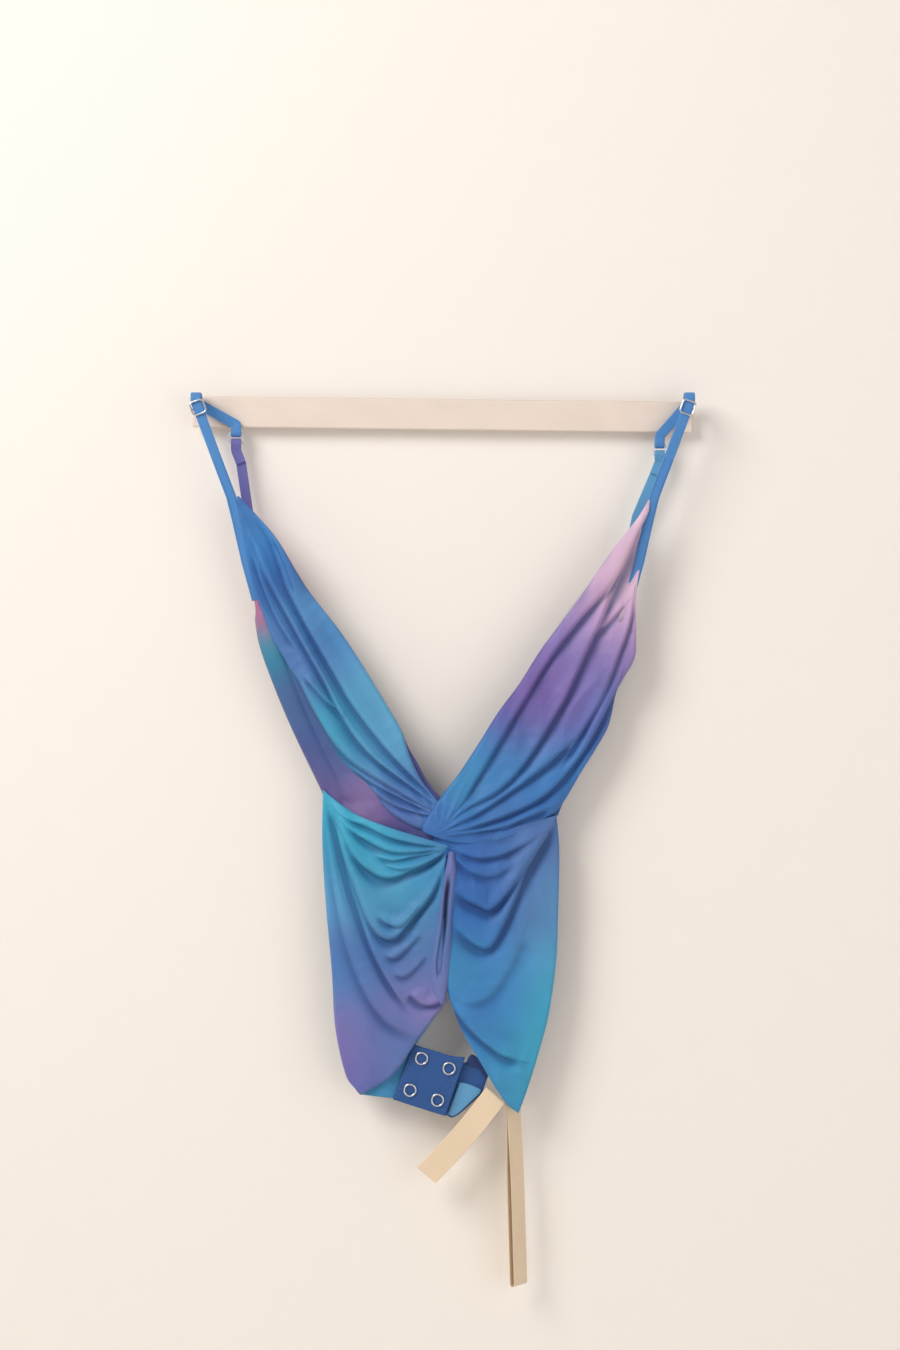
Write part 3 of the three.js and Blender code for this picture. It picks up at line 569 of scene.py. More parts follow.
def new_material(name):
    """The plain cloths take their colour from the sidebar, the rest have their own maker."""
    if name in CLOTHS:
        colour = getattr(bpy.context.scene.bodysuit_colours, name)
        return cloth_material(name, colour, **CLOTHS[name][1])
    # These two show the dye colour with the painted shade baked into it.
    if name == "dyed_and_shaded_cloth":
        return cloth_material(name)
    if name == "dyed_and_shaded_lining":
        return cloth_material(name, roughness=0.6, crumple=0.2)
    if name == "plated_metal":
        return metal_material(name, 0xDADCE0, 0.2)
    return clear_material(name)


def paint(obj, name):
    """Gives an object the named material, made the first time it's asked for."""
    if name not in MATERIALS:
        MATERIALS[name] = new_material(name)
    obj.data.materials.clear()
    obj.data.materials.append(MATERIALS[name])
    return obj


def finish_piece(obj, material, nodes, body="garment"):
    """Paints a piece, ties it to its body and hides the CAD nodes that it stands for."""
    paint(obj, material)
    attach(obj, body)
    if nodes:
        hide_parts(*nodes)
    return obj


# ---- Cups ------------------------------------------------------------------------------

# Points and dye spots are in percent of the node's box: across from its low X, down from its
# top. A few dark spots by the knot are painted shade. A fold is its line, its widths and its
# depths, from its start to its end.
CUPS = {
    "right": {
        "cut": 0.015,
        "outer": ("-2.2 -1, 0 6.7, 3.9 19.5, 7.5 27.7, 11.5 34, 16 41, 25 50, 34 60, 43 69, 52 77.5, "
                  "61 83, 70 87.5, 78 93.5, 90 98, 104 101"),
        "inner": "-1 -1, 9 5, 20 12.5, 35 26.5, 52 39, 65 50, 78 62, 86 70, 90 77, 97 85, 107 92",
        "folds": [
            ("3 4, 13 10, 20 19, 25 27, 36 39, 50 53, 60 62.5, 78 75.5, 97 86.5, 106 92",
             (11, 5), (3, 2)),
            ("2 6, 6 13, 15 25, 30 40.5, 44 54.5, 57 68.5, 70 77.5, 92 87, 105 92.5",
             (9, 4), (2.6, 1.8)),
            ("5 15, 12 27, 20 37, 30 46", (5, 5), (1.6, 1.2)),
            ("28 51, 34 58.5, 42 66.5, 50 73.5, 58 78.5, 68 82.5, 80 86.5, 92 90.5, 104 94",
             (10, 5), (3.4, 1.6)),
            ("33 53, 45 60.5, 56 66", (5, 4), (1.4, 1)),
            ("56 80, 70 85.5, 85 90, 102 94.5", (6, 4), (1.8, 1.4)),
            ("66 86, 80 91.5, 92 94, 103 95.5", (4, 4), (1.4, 1.2)),
            ("17 11, 24 20, 30 29", (5, 4), (1.6, 1)),
        ],
        "dye_and_shade": ("2 6 denim, 6 12 azure, 14 12 azure, 20 25 denim, 35 36 sky, 27 40 denim, 25 46 slate, "
                "35 51 slate, 45 45 azure, 42 54 slate, 55 50 sky, 50 62 sea, 65 60 aqua, 47 66.5 "
                "teal, 56 72 teal, 76 66 aqua, 62 69 slate, 72 74 sky, 85 75 aqua, 66 79 sea, 70 84 "
                "slate, 85 88 slate, 80 92 indigo, 95 86 azure, 100 93 slate"),
        # The violet and indigo spots at the end by the knot are painted shade.
        "strip": ("9 29 rose, 13 35.5 rose, 16 44 teal, 16 49 sea, 24 56 slate, 31 66 slate, 33 76 "
                  "indigo, 42 75 slate, 40 83 violet, 50 82 slate, 50 88.5 violet, 62 88 lilac, 66 93 "
                  "mauve, 78 95 violet, 88 97 indigo, 100 93 indigo"),
    },
    "left": {
        "cut": 0.0185,
        "outer": ("102.5 0, 100.7 10, 98 20, 96.2 27.7, 96 40, 95.5 47.5, 90 54, 86.5 58.5, 83 68, 77 "
                  "75, 70 82, 59 93, 44 100, 26 103.5, 10.6 103.4, 3 102.2, -3 100.8"),
        "inner": ("102 0, 96 6, 83 16.5, 70 28.5, 60 37, 50 45.5, 40 55.5, 30 64, 20 74, 10 83.5, 3 "
                  "89, -3 94.5, -6.3 98, -6.2 99.6"),
        "folds": [
            ("-1 100, 12 92, 20 84, 30 73.5, 40 63, 55 47.5, 66 38.5, 80 28, 90 19, 100 6",
             (5, 12), (1, 2.3)),
            ("-1 100.5, 15 93, 30 87.5, 42 80, 52 70.5, 62 60, 70 49, 78 38, 90 21, 98 9",
             (4, 12), (1, 3.2)),
            ("0 100.8, 20 94.5, 36 88, 50 81.5, 60 76, 68 71", (4, 9), (1.2, 2)),
            ("0 101, 20 98, 36 94.5, 50 90, 60 84.5, 70 76.5, 78 68, 84 60, 88 54",
             (4, 8), (1.2, 2.6)),
            ("2 101.5, 20 100, 33 98.5, 45 95.5, 55 93", (4, 6), (1, 1.4)),
            ("58 83, 70 70, 80 59, 88 46, 93 37, 95 28", (7, 5), (1.4, 1.4)),
            ("76 41, 83 37, 91 31.5", (5, 5), (1.6, 1.2)),
            ("80 31, 88 22, 96 11, 101 4", (5, 4), (1.2, 1)),
        ],
        # The denim and royal spots at the tip by the knot are darker to paint the shade there.
        "dye_and_shade": ("100 3 blush, 90 15 pink, 96 24 blush, 80 22 pink, 72 32 mauve, 86 36 pink, 62 40 "
                "lilac, 80 46 lilac, 94 42 mauve, 52 50 violet, 66 52 lilac, 70 63 violet, 88 50 "
                "lilac, 42 60 violet, 54 64 violet, 34 68 indigo, 50 72 slate, 22 77 azure, 14 85 sea, "
                "35 81 azure, 60 76 azure, 82 61 azure, 77 72 royal, 68 78 azure, 50 87 azure, 30 92 "
                "denim, 12 93 azure, -2 98 denim, 6 99 royal, 62 66 violet, 58 58 lilac, 78 53 violet, "
                "45 55 violet, 30 99 denim, 50 95 denim, 62 89 royal"),
        "strip": "94 25 blush, 88 48 lilac, 82 62 slate, 73 74 royal, 56 90 royal, 10 100 royal",
    },
}


def by_knot(x, z, reach=20 * MM):
    """1 at the knot, falling off as exp(-(r / reach)^2)."""
    return np.exp(-(np.hypot(x - KNOT[0], z - KNOT[1]) / reach) ** 2)


def build_cup(side, spec, columns, rows):
    """The folded cloth of a cup: y = front_y - height + rolled hem, where the height is the
    sum of its folds, pleats and creases, flattened and set apart from its twin at the knot."""
    node = f"cup_drape_{side}"
    outer, inner = curve(place(node, spec["outer"]), 400), curve(place(node, spec["inner"]), 400)
    left, right = (outer, inner) if side == "right" else (inner, outer)
    x, z = ruled(left, right, columns, rows)
    height = ripple(x, z, (34, 51, 23), 3) * 0.5 * MM
    for line, widths, depths in spec["folds"]:
        height = height + fold(x, z, place(node, line), widths, depths)
    height = height * sidebar("fold_depth")
    height = height + pleats(x, z, KNOT, 13, 0.6, 40, 1 if side == "right" else 4)
    # The dye colour times painted shade, darker in the hollows of the folds.
    dye_and_shade = dyed(x, z, node, spec["dye_and_shade"], 0.09) * painted_fold_shade(height)
    height = settle(height + crumple(x, z, 2 if side == "right" else 9), *FOLD_LIMITS)
    flatter, behind = (0.6, 3.0) if side == "right" else (0.35, -2.2)
    height = height * (1 - flatter * by_knot(x, z))
    hem = rolled(x, z, 3.0) * (0.3 + 0.7 * ease(-z, 0.14, 0.18))
    y = front_y(x, z) - height - 0.8 * MM + hem + behind * MM * by_knot(x, z)
    obj = shell(f"drape_{side}", np.stack([x, y, z], -1), CLOTH, dye_and_shade)
    finish_piece(obj, "dyed_and_shaded_cloth", [node])
    return obj


def build_base(side, spec):
    """The smooth cup under the folds, with its bare armhole strip."""
    node, s = f"cup_base_{side}", SIDES[side]
    low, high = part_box(node)
    panel_low, panel_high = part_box(f"front_panel_{side}")
    inner = curve(place(f"cup_drape_{side}", spec["inner"]), 300)
    inner[:, 0] -= s * 3.5 * MM * ease(-inner[:, 1], 0.235, 0.26) * (side == "right")
    corner = panel_low.x if s < 0 else panel_high.x
    bust = abs(low.x if s < 0 else high.x) - 0.0165
    outer = edge(
        [(s * 0.1425, high.z), (s * 0.1315, -0.141), (s * 0.1308, -0.158), (s * bust, -0.180),
         (s * 0.108, -0.226), (corner - s * 0.5 * MM, panel_high.z - 3 * MM)],
        place(f"front_panel_{side}", PANELS[side]["top"]) - [0, 6 * MM])
    left, right = (outer, inner) if s < 0 else (inner, outer)
    x, z = ruled(left, right, 90, 200)
    away = np.abs(beside(x, z, outer[:285:12], 60)[0])
    width = 14 * MM * ease(-z, 0.125, 0.17)
    across = np.clip(away / (width + 1e-6), 0, 1)      # of the bare strip, which stands rolled
    roll = 3.0 * MM * np.sin(np.pi * across) ** 0.8 * ease(-z, 0.13, 0.16)
    y = front_y(x, z) + 3.6 * MM - roll + rolled(x, z, 2.0) + crumple(x, z, 6) * 0.8
    dye_and_shade = dyed(x, z, node, spec["strip"], 0.07) * 0.72
    obj = shell(f"base_{side}", np.stack([x, y, z], -1), 0.8 * MM, dye_and_shade)
    finish_piece(obj, "dyed_and_shaded_lining", [node])
    return obj


class OBJECT_OT_cups(bpy.types.Operator):
    """Builds both draped cups and the smooth cups under them"""
    bl_idname = "bodysuit.cups"
    bl_label = "Cups"

    def execute(self, context):
        for side, spec in CUPS.items():
            drape = build_cup(side, spec, 130, 250)
            base = build_base(side, spec)
            paint(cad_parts[f"neck_elastic_{side}"], "elastic_tape")
        return {"FINISHED"}


# ---- Front panels ----------------------------------------------------------------------

PANELS = {
    "right": {
        "outer": ["1 0.4, 0.5 17, 3 36, 8 59, 11 78, 19 93, 27 98, 31 100"],
        "inner": ["102 18, 100 24, 98.5 36, 98.5 52, 100 69",
                  "100 69, 78 81, 58 93, 31 100"],
        "top": "1 0, 8 2.5, 20 6, 33 9, 57 12.5, 85 16, 102 18",
        "folds": [
            ("5 4, 18 9, 36 12, 55 15.5, 75 17.5, 100 18.6", (6, 3), (1.6, 1.2)),
            ("8 6, 20 12, 38 17, 55 20, 72 20.3, 100 19", (7, 3), (1.8, 1.2)),
            ("42 21.5, 56 23, 72 22, 88 20.7, 100 19.2", (6, 3), (1.5, 1)),
            ("50 24.5, 62 25.8, 76 25, 90 22.5, 100 19.6", (5, 3), (1.8, 1)),
            ("8 6, 18 15, 28 22.5, 40 27, 52 28.8, 66 27.5, 85 23.8, 100 20", (10, 5), (3, 1.6)),
            ("44 40.5, 52 43.5, 62 44.5, 70 42, 80 37", (6, 4), (1.6, 1)),
            ("10 8, 17 20, 27 31, 36 41, 45 47, 53 48.8, 62 47.5, 75 41, 88 34, 98 25",
             (12, 4), (3.6, 1.4)),
            ("3 2, 10 12, 15 20, 22 31, 30 41, 38 50, 47 58, 57 65, 70 72.5", (9, 6), (2.4, 1.7)),
            ("50 54, 58 55, 68 52, 80 47", (5, 4), (1.5, 0.6)),
            ("57 60, 66 61, 76 58, 84 54", (5, 4), (1.1, 0.5)),
            ("70 66.5, 80 70, 90 70, 97 68.5", (7, 5), (1.8, 1.4)),
            ("2 5, 10 30, 20 50, 35 66, 50 75, 62 78.5, 76 80", (10, 14), (1, 1.6)),
        ],
        "dye_and_shade": ("5 2 teal, 20 9 teal, 40 11 teal, 60 14 sea, 85 16.5 slate, 40 20 teal, 65 24 teal, 90 "
                "21 sea, 4 20 sea, 5 37 sky, 15 35 sky, 25 25 sea, 40 31 sea, 50 38 aqua, 70 32 sea, "
                "88 27 azure, 62 41 sea, 80 42 slate, 15 50 slate, 30 55 slate, 45 50 denim, 65 55 "
                "slate, 85 55 slate, 25 66 slate, 10 62 azure, 70 70 lilac, 60 62 slate, 87 72 lilac, "
                "15 76 lilac, 20 87 violet, 27 96 violet, 40 80 slate, 50 75 indigo, 60 80 slate, 45 "
                "90 slate, 30 88 lilac, 70 80 slate, 38 97 denim"),
    },
    "left": {
        "outer": ["98.5 1, 101 13, 100 33, 98.5 48, 92 66, 83 79, 72 92, 64 100"],
        "inner": ["0 11, 2 20, 2 37, -1 55, 1 62",
                  "1 62, 12 72, 29 83, 51 96, 63.5 100"],
        "top": "0 10, 20 8.5, 45 6.5, 72 3.5, 98.5 1",
        "folds": [
            ("3 12.5, 30 15, 55 13, 85 7", (5, 7), (1.4, 1)),
            ("2 14, 20 19.5, 40 21, 60 17", (6, 8), (1.1, 0.7)),
            ("4 25, 15 28.5, 28 31, 36 32.2, 45 30, 58 24, 72 16.5, 88 8", (8, 8), (2.8, 1.6)),
            ("3 36, 10 39.3, 20 42.7, 29 44.7, 36 44.7, 43 42, 51 36.5, 59 30, 70 21, 82 12.5, 95 4",
             (8, 9), (2.2, 2.2)),
            ("2 63.5, 12 68.5, 25 74, 38 78, 50 81, 65 82.5", (8, 7), (2.6, 2)),
            ("3 60, 20 63, 40 60, 58 50, 68 40", (15, 15), (0.8, 0.9)),
        ],
        "dye_and_shade": ("5 14 royal, 20 18 denim, 28 24 royal, 10 25 royal, 50 17 denim, 70 20 slate, 88 12 "
                "slate, 93 28 sky, 80 33 slate, 65 35 slate, 40 36 royal, 18 36 royal, 20 42 azure, 45 "
                "43 azure, 10 50 sea, 30 55 azure, 60 50 azure, 78 47 sky, 96 50 teal, 15 63 azure, 40 "
                "66 azure, 60 62 azure, 88 62 teal, 82 75 teal, 60 78 sea, 30 75 azure, 45 86 azure, "
                "60 93 sea, 70 85 teal, 97 38 sky"),
    },
}


def panel_grid(node, spec, side, columns, rows):
    """x and z of a panel: ruled between its side edge and its centre edge, then eased so
    that its first row follows the seam under the bust."""
    outer = edge(*[place(node, line) for line in spec["outer"]])
    inner = edge(*[place(node, line) for line in spec["inner"]])
    left, right = (outer, inner) if side == "right" else (inner, outer)
    x, z = ruled(left, right, columns, rows)
    top = curve(place(node, spec["top"]), columns)
    fade = (1 - ease(np.linspace(0, 1, rows), 0, 0.25))[:, None]
    return x + (top[:, 0] - x[0]) * fade, z + (top[:, 1] - z[0]) * fade


def build_panel(side, spec, columns, rows):
    """A folded front panel: y = front_y - height + rolled hem, as for a cup, with its lower
    part kept forward of the tab."""
    node = f"front_panel_{side}"
    x, z = panel_grid(node, spec, side, columns, rows)
    height = ripple(x, z, (48, 70, 31), 11) * 0.6 * MM
    for line, widths, depths in spec["folds"]:
        height = height + fold(x, z, place(node, line), widths, depths)
    height = height * sidebar("fold_depth")
    height = height + pleats(x, z, PLEAT_TOP, 11, 0.5, 30, 2 if side == "right" else 5)
    # The dye colour times painted shade, darker in the hollows of the folds.
    dye_and_shade = dyed(x, z, node, spec["dye_and_shade"], 0.1) * painted_fold_shade(height)
    height = settle(height + crumple(x, z, 4 if side == "right" else 7), *FOLD_LIMITS)
    set_back = rolled(x, z, 2.4) + 1.2 * MM * by_knot(x, z) - height - 0.8 * MM
    clear = settle(set_back, 1.7 * MM, 20 * MM)      # leaves the front tab room to open
    y = front_y(x, z) + set_back + (clear - set_back) * ease(-z, 0.40, 0.43)
    grid = np.stack([x, y, z], -1)
    obj = shell(f"panel_{side}", grid, CLOTH, dye_and_shade)
    start, column = int(rows * 0.62), -8 if side == "right" else 7
    thread = stitch_row(f"hem_stitch_{side}", grid[start:-6, column], (0, -1, 0), 2.6 * MM, 0.3 * MM)
    finish_piece(thread, "pale_thread", [])
    return finish_piece(obj, "dyed_and_shaded_cloth", [node])


def build_pleat():
    """The narrow pleat below the knot: a half round between two edges, y = -r sqrt(1 -
    (2u - 1)^2), with a slit pressed into it."""
    left = curve([(0.0043, -0.316), (0, -0.3375), (-0.0035, -0.359), (-0.007, -0.380),
                  (-0.0087, -0.395), (-0.0079, -0.410), (-0.0044, -0.4194), (-0.0009, -0.4226)], 160)
    right = curve([(0.0078, -0.316), (0.0094, -0.333), (0.007, -0.359), (0.0061, -0.380),
                   (0.0052, -0.401), (0.0026, -0.4162), (0, -0.4226)], 160)
    x, z = ruled(left, right, 70, 160)
    u = np.linspace(-1, 1, 70)[None, :]
    round_ = np.sqrt(np.clip(1 - u**2, 0, 1)) * 4.6 * MM
    slit = groove(x, z, [(0.0052, -0.328), (0.0026, -0.348), (0.0009, -0.3694), (-0.0022, -0.3907),
                         (-0.0031, -0.4076)], 1.5, 5.0)
    y = front_y(x, z) - round_ + slit + 1.4 * MM
    spots = "100 20 lilac, 100 28 slate, 100 40 slate, 100 50 slate, 90 62 slate, 90 70 lilac"
    shadow = 1 - 0.6 * np.clip(slit / (4 * MM), 0, 1)
    dye_and_shade = dyed(x, z, "front_panel_right", spots, 0.2) * shadow[..., None]
    obj = shell("centre_pleat", np.stack([x, y, z], -1), CLOTH, dye_and_shade)
    return finish_piece(obj, "dyed_and_shaded_cloth", [])


def build_lining(side):
    """The smooth cloth behind a panel; the right one runs on to the seam of the front tab."""
    node, panel, spec = f"front_lining_{side}", f"front_panel_{side}", PANELS[side]
    if side == "left":
        x, z = panel_grid(panel, spec, side, 50, 110)
        z = np.maximum(z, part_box(node)[0].z + (z - z.min()) * 0.02)
        x = x + 0.8 * MM * np.sign(0.045 - x)      # drawn in from both edges of the panel
        y = front_y(x, z) + 4.6 * MM
    else:
        upper, lower = (p[[0, 2]] for p in on_tab(np.array([(-17.5, 18), (-17.5, -21)]) * MM, 0))
        centre = place(panel, spec["inner"][0])
        inner = edge(centre, [centre[-1], upper], [upper, lower])
        x, z = ruled(edge(place(panel, spec["outer"][0])), inner, 60, 130)
        tucked = ease(x, -44 * MM, -33 * MM) * ease(-z, 0.44, 0.455)
        y = front_y(x, z) + 4.6 * MM + 1.8 * MM * tucked
    spots = "20 90 teal, 60 95 denim, 30 20 azure, 80 50 azure"
    obj = shell(f"lining_{side}", np.stack([x, y, z], -1), 0.5 * MM, dyed(x, z, node, spots, 0.4))
    return finish_piece(obj, "dyed_and_shaded_lining", [node])


class OBJECT_OT_front(bpy.types.Operator):
    """Builds both front panels, the pleat between them and their linings"""
    bl_idname = "bodysuit.front"
    bl_label = "Front panels"

    def execute(self, context):
        for side, spec in PANELS.items():
            panel = build_panel(side, spec, 130, 240)
            lining = build_lining(side)
            paint(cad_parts[f"leg_elastic_{side}"], "elastic_tape")
        build_pleat()
        return {"FINISHED"}


class OBJECT_OT_knot(bpy.types.Operator):
    """Builds the twist where the folds of both sides wrap round each other"""
    bl_idname = "bodysuit.knot"
    bl_label = "Knot"

    def execute(self, context):
        low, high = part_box("twist_knot")
        middle = (np.array(low) + np.array(high)) / 2 + [0, 7 * MM, 0]
        a = np.linspace(0, 2 * np.pi, 96, endpoint=False)
        b = np.linspace(-np.pi / 2, np.pi / 2, 60)[1:-1]
        lon, lat = np.meshgrid(a, b)
        ridges = 1 + 0.07 * np.sin(7 * (lon + 0.9 * lat)) * np.cos(lat)
        wide, deep, tall = (np.array(high) - np.array(low)) / 2 * [1, 0.6, 0.9]
        grid = np.stack([np.cos(lat) * np.cos(lon) * ridges * wide,
                         np.cos(lat) * np.sin(lon) * ridges * deep, np.sin(lat) * tall], -1) + middle
        rows, n = lon.shape
        i = np.arange(rows * n).reshape(rows, n)
        ring = np.roll(i, -1, 1)
        faces = np.stack([i[:-1], ring[:-1], ring[1:], i[1:]], -1).reshape(-1, 4).tolist()
        verts = np.vstack([grid.reshape(-1, 3), middle - [0, 0, tall], middle + [0, 0, tall]])
        faces += [[rows * n, ring[0, k], i[0, k]] for k in range(n)]
        faces += [[rows * n + 1, i[-1, k], ring[-1, k]] for k in range(n)]
        uv = np.vstack([np.column_stack([lon.ravel(), lat.ravel()]) * 0.01, [[0, 0], [0, 0]]])
        dye_and_shade = np.tile(linear(SHADES["royal"]), (len(verts), 1))
        obj = new_object("knot", verts, faces, uv, dye_and_shade)
        finish_piece(obj, "dyed_and_shaded_cloth", ["twist_knot"])
        return {"FINISHED"}


# ---- Back ------------------------------------------------------------------------------

class OBJECT_OT_back(bpy.types.Operator):
    """Builds the back panels and the mesh that lines them"""
    bl_idname = "bodysuit.back"
    bl_label = "Back panels"

    def execute(self, context):
        for side, s in SIDES.items():
            low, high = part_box(f"back_panel_{side}")
            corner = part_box(f"front_panel_{side}")[0 if s < 0 else 1]
            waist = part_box(f"front_panel_{side}")[1].z
            wing, top, leg = abs(high.x if s > 0 else low.x), high.z, low.z
            seam = 0.6 * MM
            neck = [(s * (wing - 7 * MM), top), (s * wing * 0.5, top - 0.046), (s * seam, -0.302)]
            side_edge = [(s * wing, top), (corner.x, waist), (corner.x * 0.98, waist - 0.048)]
            if s < 0:
                outer = edge(side_edge, [side_edge[2], (s * 0.045, leg + 0.04),
                                         (s * seam - 1 * MM, leg)])
                inner = edge(neck, [neck[2], (s * seam, leg + 0.008)])
                left, right = outer, inner
            else:
                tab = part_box("gusset_back")[1]
                inner = edge(neck, [neck[2], (s * seam, -0.385), (tab.x - 0.012, -0.435),
                                    (tab.x - 0.006, leg + 0.004)])
                outer = edge(side_edge, [side_edge[2], (0.074, -0.40), (tab.x + 0.028, -0.436),
                                         (tab.x + 0.012, leg)])
                left, right = inner, outer
            x, z = ruled(left, right, 90, 170)
            y = back_y(x, z) + 1.4 * MM + ripple(x, z, (60, 41, 25), 8) * 0.7 * MM
            spots = "50 10 sky, 60 50 azure, 30 80 denim, 90 40 lilac"
            panel = shell(f"back_{side}", np.stack([x, y, z], -1), CLOTH,
                          dyed(x, z, f"back_panel_{side}", spots, 0.3))
            finish_piece(panel, "dyed_and_shaded_cloth", [f"back_panel_{side}"])
            y = back_y(x, z) - 0.2 * MM
            mesh = shell(f"mesh_{side}", np.stack([x, y, z], -1)[::2, ::2], 0.3 * MM)
            finish_piece(mesh, "mesh_lining", [f"back_mesh_{side}"])
        return {"FINISHED"}


# ---- Straps ----------------------------------------------------------------------------

def over_hanger(x, y, z):
    """Front to back over the arm, with corners rounded as quadratic curves."""
    t = np.linspace(0, 1, 6)[:, None]
    a, b, c = (np.array(p) for p in ((x, -y, -3.5 * MM), (x, -y, z), (x, -4.2 * MM, z)))
    front = (1 - t) ** 2 * a + 2 * t * (1 - t) * b + t**2 * c
    return np.vstack([front, front[::-1] * [1, -1, 1]])


def round_bar(x, y, z, radius, start, end):
    """An arc about a bar along X: y + r cos a, z + r sin a."""
    a = np.linspace(start, end, 11)
    return np.column_stack([np.full(11, x), y + radius * np.cos(a), z + radius * np.sin(a)])


def front_strap(side):
    """The long strap's middle line: from the cup's edge up over the hanger, down round the
    ring's upper bar, and back up over the hanger to the slider."""
    s = SIDES[side]
    low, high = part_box(f"strap_front_{side}")
    ring_low, ring_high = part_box(f"ring_{side}")
    x = (low.x if s < 0 else high.x) - s * sidebar("strap_width") / 2
    tip = high.x if s < 0 else low.x
    ring, bar = (ring_low.x + ring_high.x) / 2, ring_high.z - 0.8 * MM
    ring_y = (ring_low.y + ring_high.y) / 2
    top = high.z - sidebar("strap_thickness") / 2
    return np.vstack([
        [(tip, -5.9 * MM, low.z), (s * 0.1368, -6.5 * MM, -0.115), (s * 0.1430, -7.8 * MM, -0.0875),
         (s * 0.1472, -OUTER_PLY + 0.4 * MM, -0.070), (s * 0.1570, -OUTER_PLY, -0.044)],
        over_hanger(x, OUTER_PLY, top),
        [(ring, OUTER_PLY, bar + 6 * MM)],
        round_bar(ring, ring_y, bar, 2.1 * MM, 0.35, -np.pi - 0.35),
        [(ring, INNER_PLY, bar + 6 * MM)],
        over_hanger(x, INNER_PLY, top - 1.7 * MM)[::-1],
        [(x - s * 1.2 * MM, -INNER_PLY, -7 * MM)],
    ])


def back_strap(side):
    """The short strap's middle line: a stub, round the ring's lower bar, down to the wing."""
    s = SIDES[side]
    low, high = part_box(f"strap_back_{side}")
    ring_low, ring_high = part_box(f"ring_{side}")
    x, bar, y = (ring_low.x + ring_high.x) / 2, ring_low.z + 0.8 * MM, (ring_low.y + ring_high.y) / 2
    stub = x - s * 3.5 * MM
    end = (high.x if s < 0 else low.x) + s * sidebar("strap_width") * 0.5
    return np.vstack([
        [(stub, INNER_PLY, bar - 14 * MM), (x, INNER_PLY, bar - 5 * MM)],
        round_bar(x, y, bar, 2.6 * MM, np.pi + 0.35, -0.35),
        [(x, OUTER_PLY, bar - 5 * MM), (stub, OUTER_PLY, bar - 14 * MM), (s * 0.136, 8.5 * MM, -0.083),
         (s * 0.122, 7 * MM, -0.150), (end, 6.5 * MM, low.z)],
    ])


def rounded_loop(width, height, radius, middle, right, up):
    """A rectangle with round corners, in the plane of the two given directions."""
    a = np.linspace(0, np.pi / 2, 7)
    w, h = width / 2 - radius, height / 2 - radius
    corners = zip((w, -w, -w, w), (h, h, -h, -h), np.arange(4) * np.pi / 2)
    flat = np.vstack([
        np.column_stack([cx + radius * np.cos(a + turn), cz + radius * np.sin(a + turn)])
        for cx, cz, turn in corners])
    return np.asarray(middle) + flat[:, :1] * np.asarray(right) + flat[:, 1:] * np.asarray(up)


class OBJECT_OT_straps(bpy.types.Operator):
    """Builds the shoulder straps with their edge stitching"""
    bl_idname = "bodysuit.straps"
    bl_label = "Straps"

    def execute(self, context):
        section = rounded(sidebar("strap_width"), sidebar("strap_thickness"))
        for side, s in SIDES.items():
            path = resample(front_strap(side), 420)
            strap = sweep(f"front_strap_{side}", path, section)
            finish_piece(strap, "blue_strap", [f"strap_front_{side}"])
            back = sweep(f"back_strap_{side}", resample(back_strap(side), 260), section)
            finish_piece(back, "violet_strap" if s < 0 else "pale_strap",
                         [f"strap_back_{side}"])
            run = curve(front_strap(side)[:5], 60)
            run = run[run[:, 2] < -0.014]
            across = np.array([0.94, 0, -s * 0.34])
            for name, shift in (("outer", 2.5), ("inner", -2.5)):
                row = run + across * shift * MM + [0, -sidebar("strap_thickness") / 2, 0]
                thread = stitch_row(f"strap_stitch_{name}_{side}", row, (0, -1, 0), 2.2 * MM)
                finish_piece(thread, "blue_thread", [])
        return {"FINISHED"}


class OBJECT_OT_hardware(bpy.types.Operator):
    """Builds the strap sliders and the clear rings"""
    bl_idname = "bodysuit.hardware"
    bl_label = "Sliders and rings"

    def execute(self, context):
        wire = rounded(SLIDER_WIRE, SLIDER_WIRE, 12, 1)
        for side, s in SIDES.items():
            low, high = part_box(f"slider_{side}")
            middle = np.array([(low.x + high.x) / 2, -OUTER_PLY - 1.75 * MM, (low.z + high.z) / 2])
            lean = s * np.arctan2(*SLIDER_RUN)
            right = np.array([np.cos(lean), 0, -np.sin(lean)])
            up = np.array([np.sin(lean), 0, np.cos(lean)])
            loop = rounded_loop(9.3 * MM, 9.4 * MM, 2.2 * MM, middle, right, up)
            frame_ = sweep("wire", loop, wire, (0, 1, 0), closed=True)
            bar_at = middle + [0, 3.8 * MM, 0]
            t = np.linspace(-1, 1, 15)[:, None]
            ends = np.array([0, 3.35 * MM, 0]) * t**8      # bent forward to meet the frame
            bar = sweep("bar", bar_at + t * right * 4.6 * MM - ends, wire, (0, 1, 0))
            slider = join(f"slider_{side}_wire", frame_, bar)
            finish_piece(slider, "plated_metal", [f"slider_{side}"], f"slider_{side}")
            low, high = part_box(f"ring_{side}")
            centre = (np.array(low) + np.array(high)) / 2
            loop = rounded_loop(high.x - low.x - RING_WIRE, high.z - low.z - RING_WIRE, 1.4 * MM, centre,
                                (1, 0, 0), (0, 0, 1))
            section = rounded(RING_WIRE, RING_WIRE, 14, 0.8)
            ring = sweep(f"ring_{side}_loop", loop, section, (0, 1, 0), closed=True)
            finish_piece(ring, "clear_plastic", [f"ring_{side}"], f"ring_{side}")
        return {"FINISHED"}


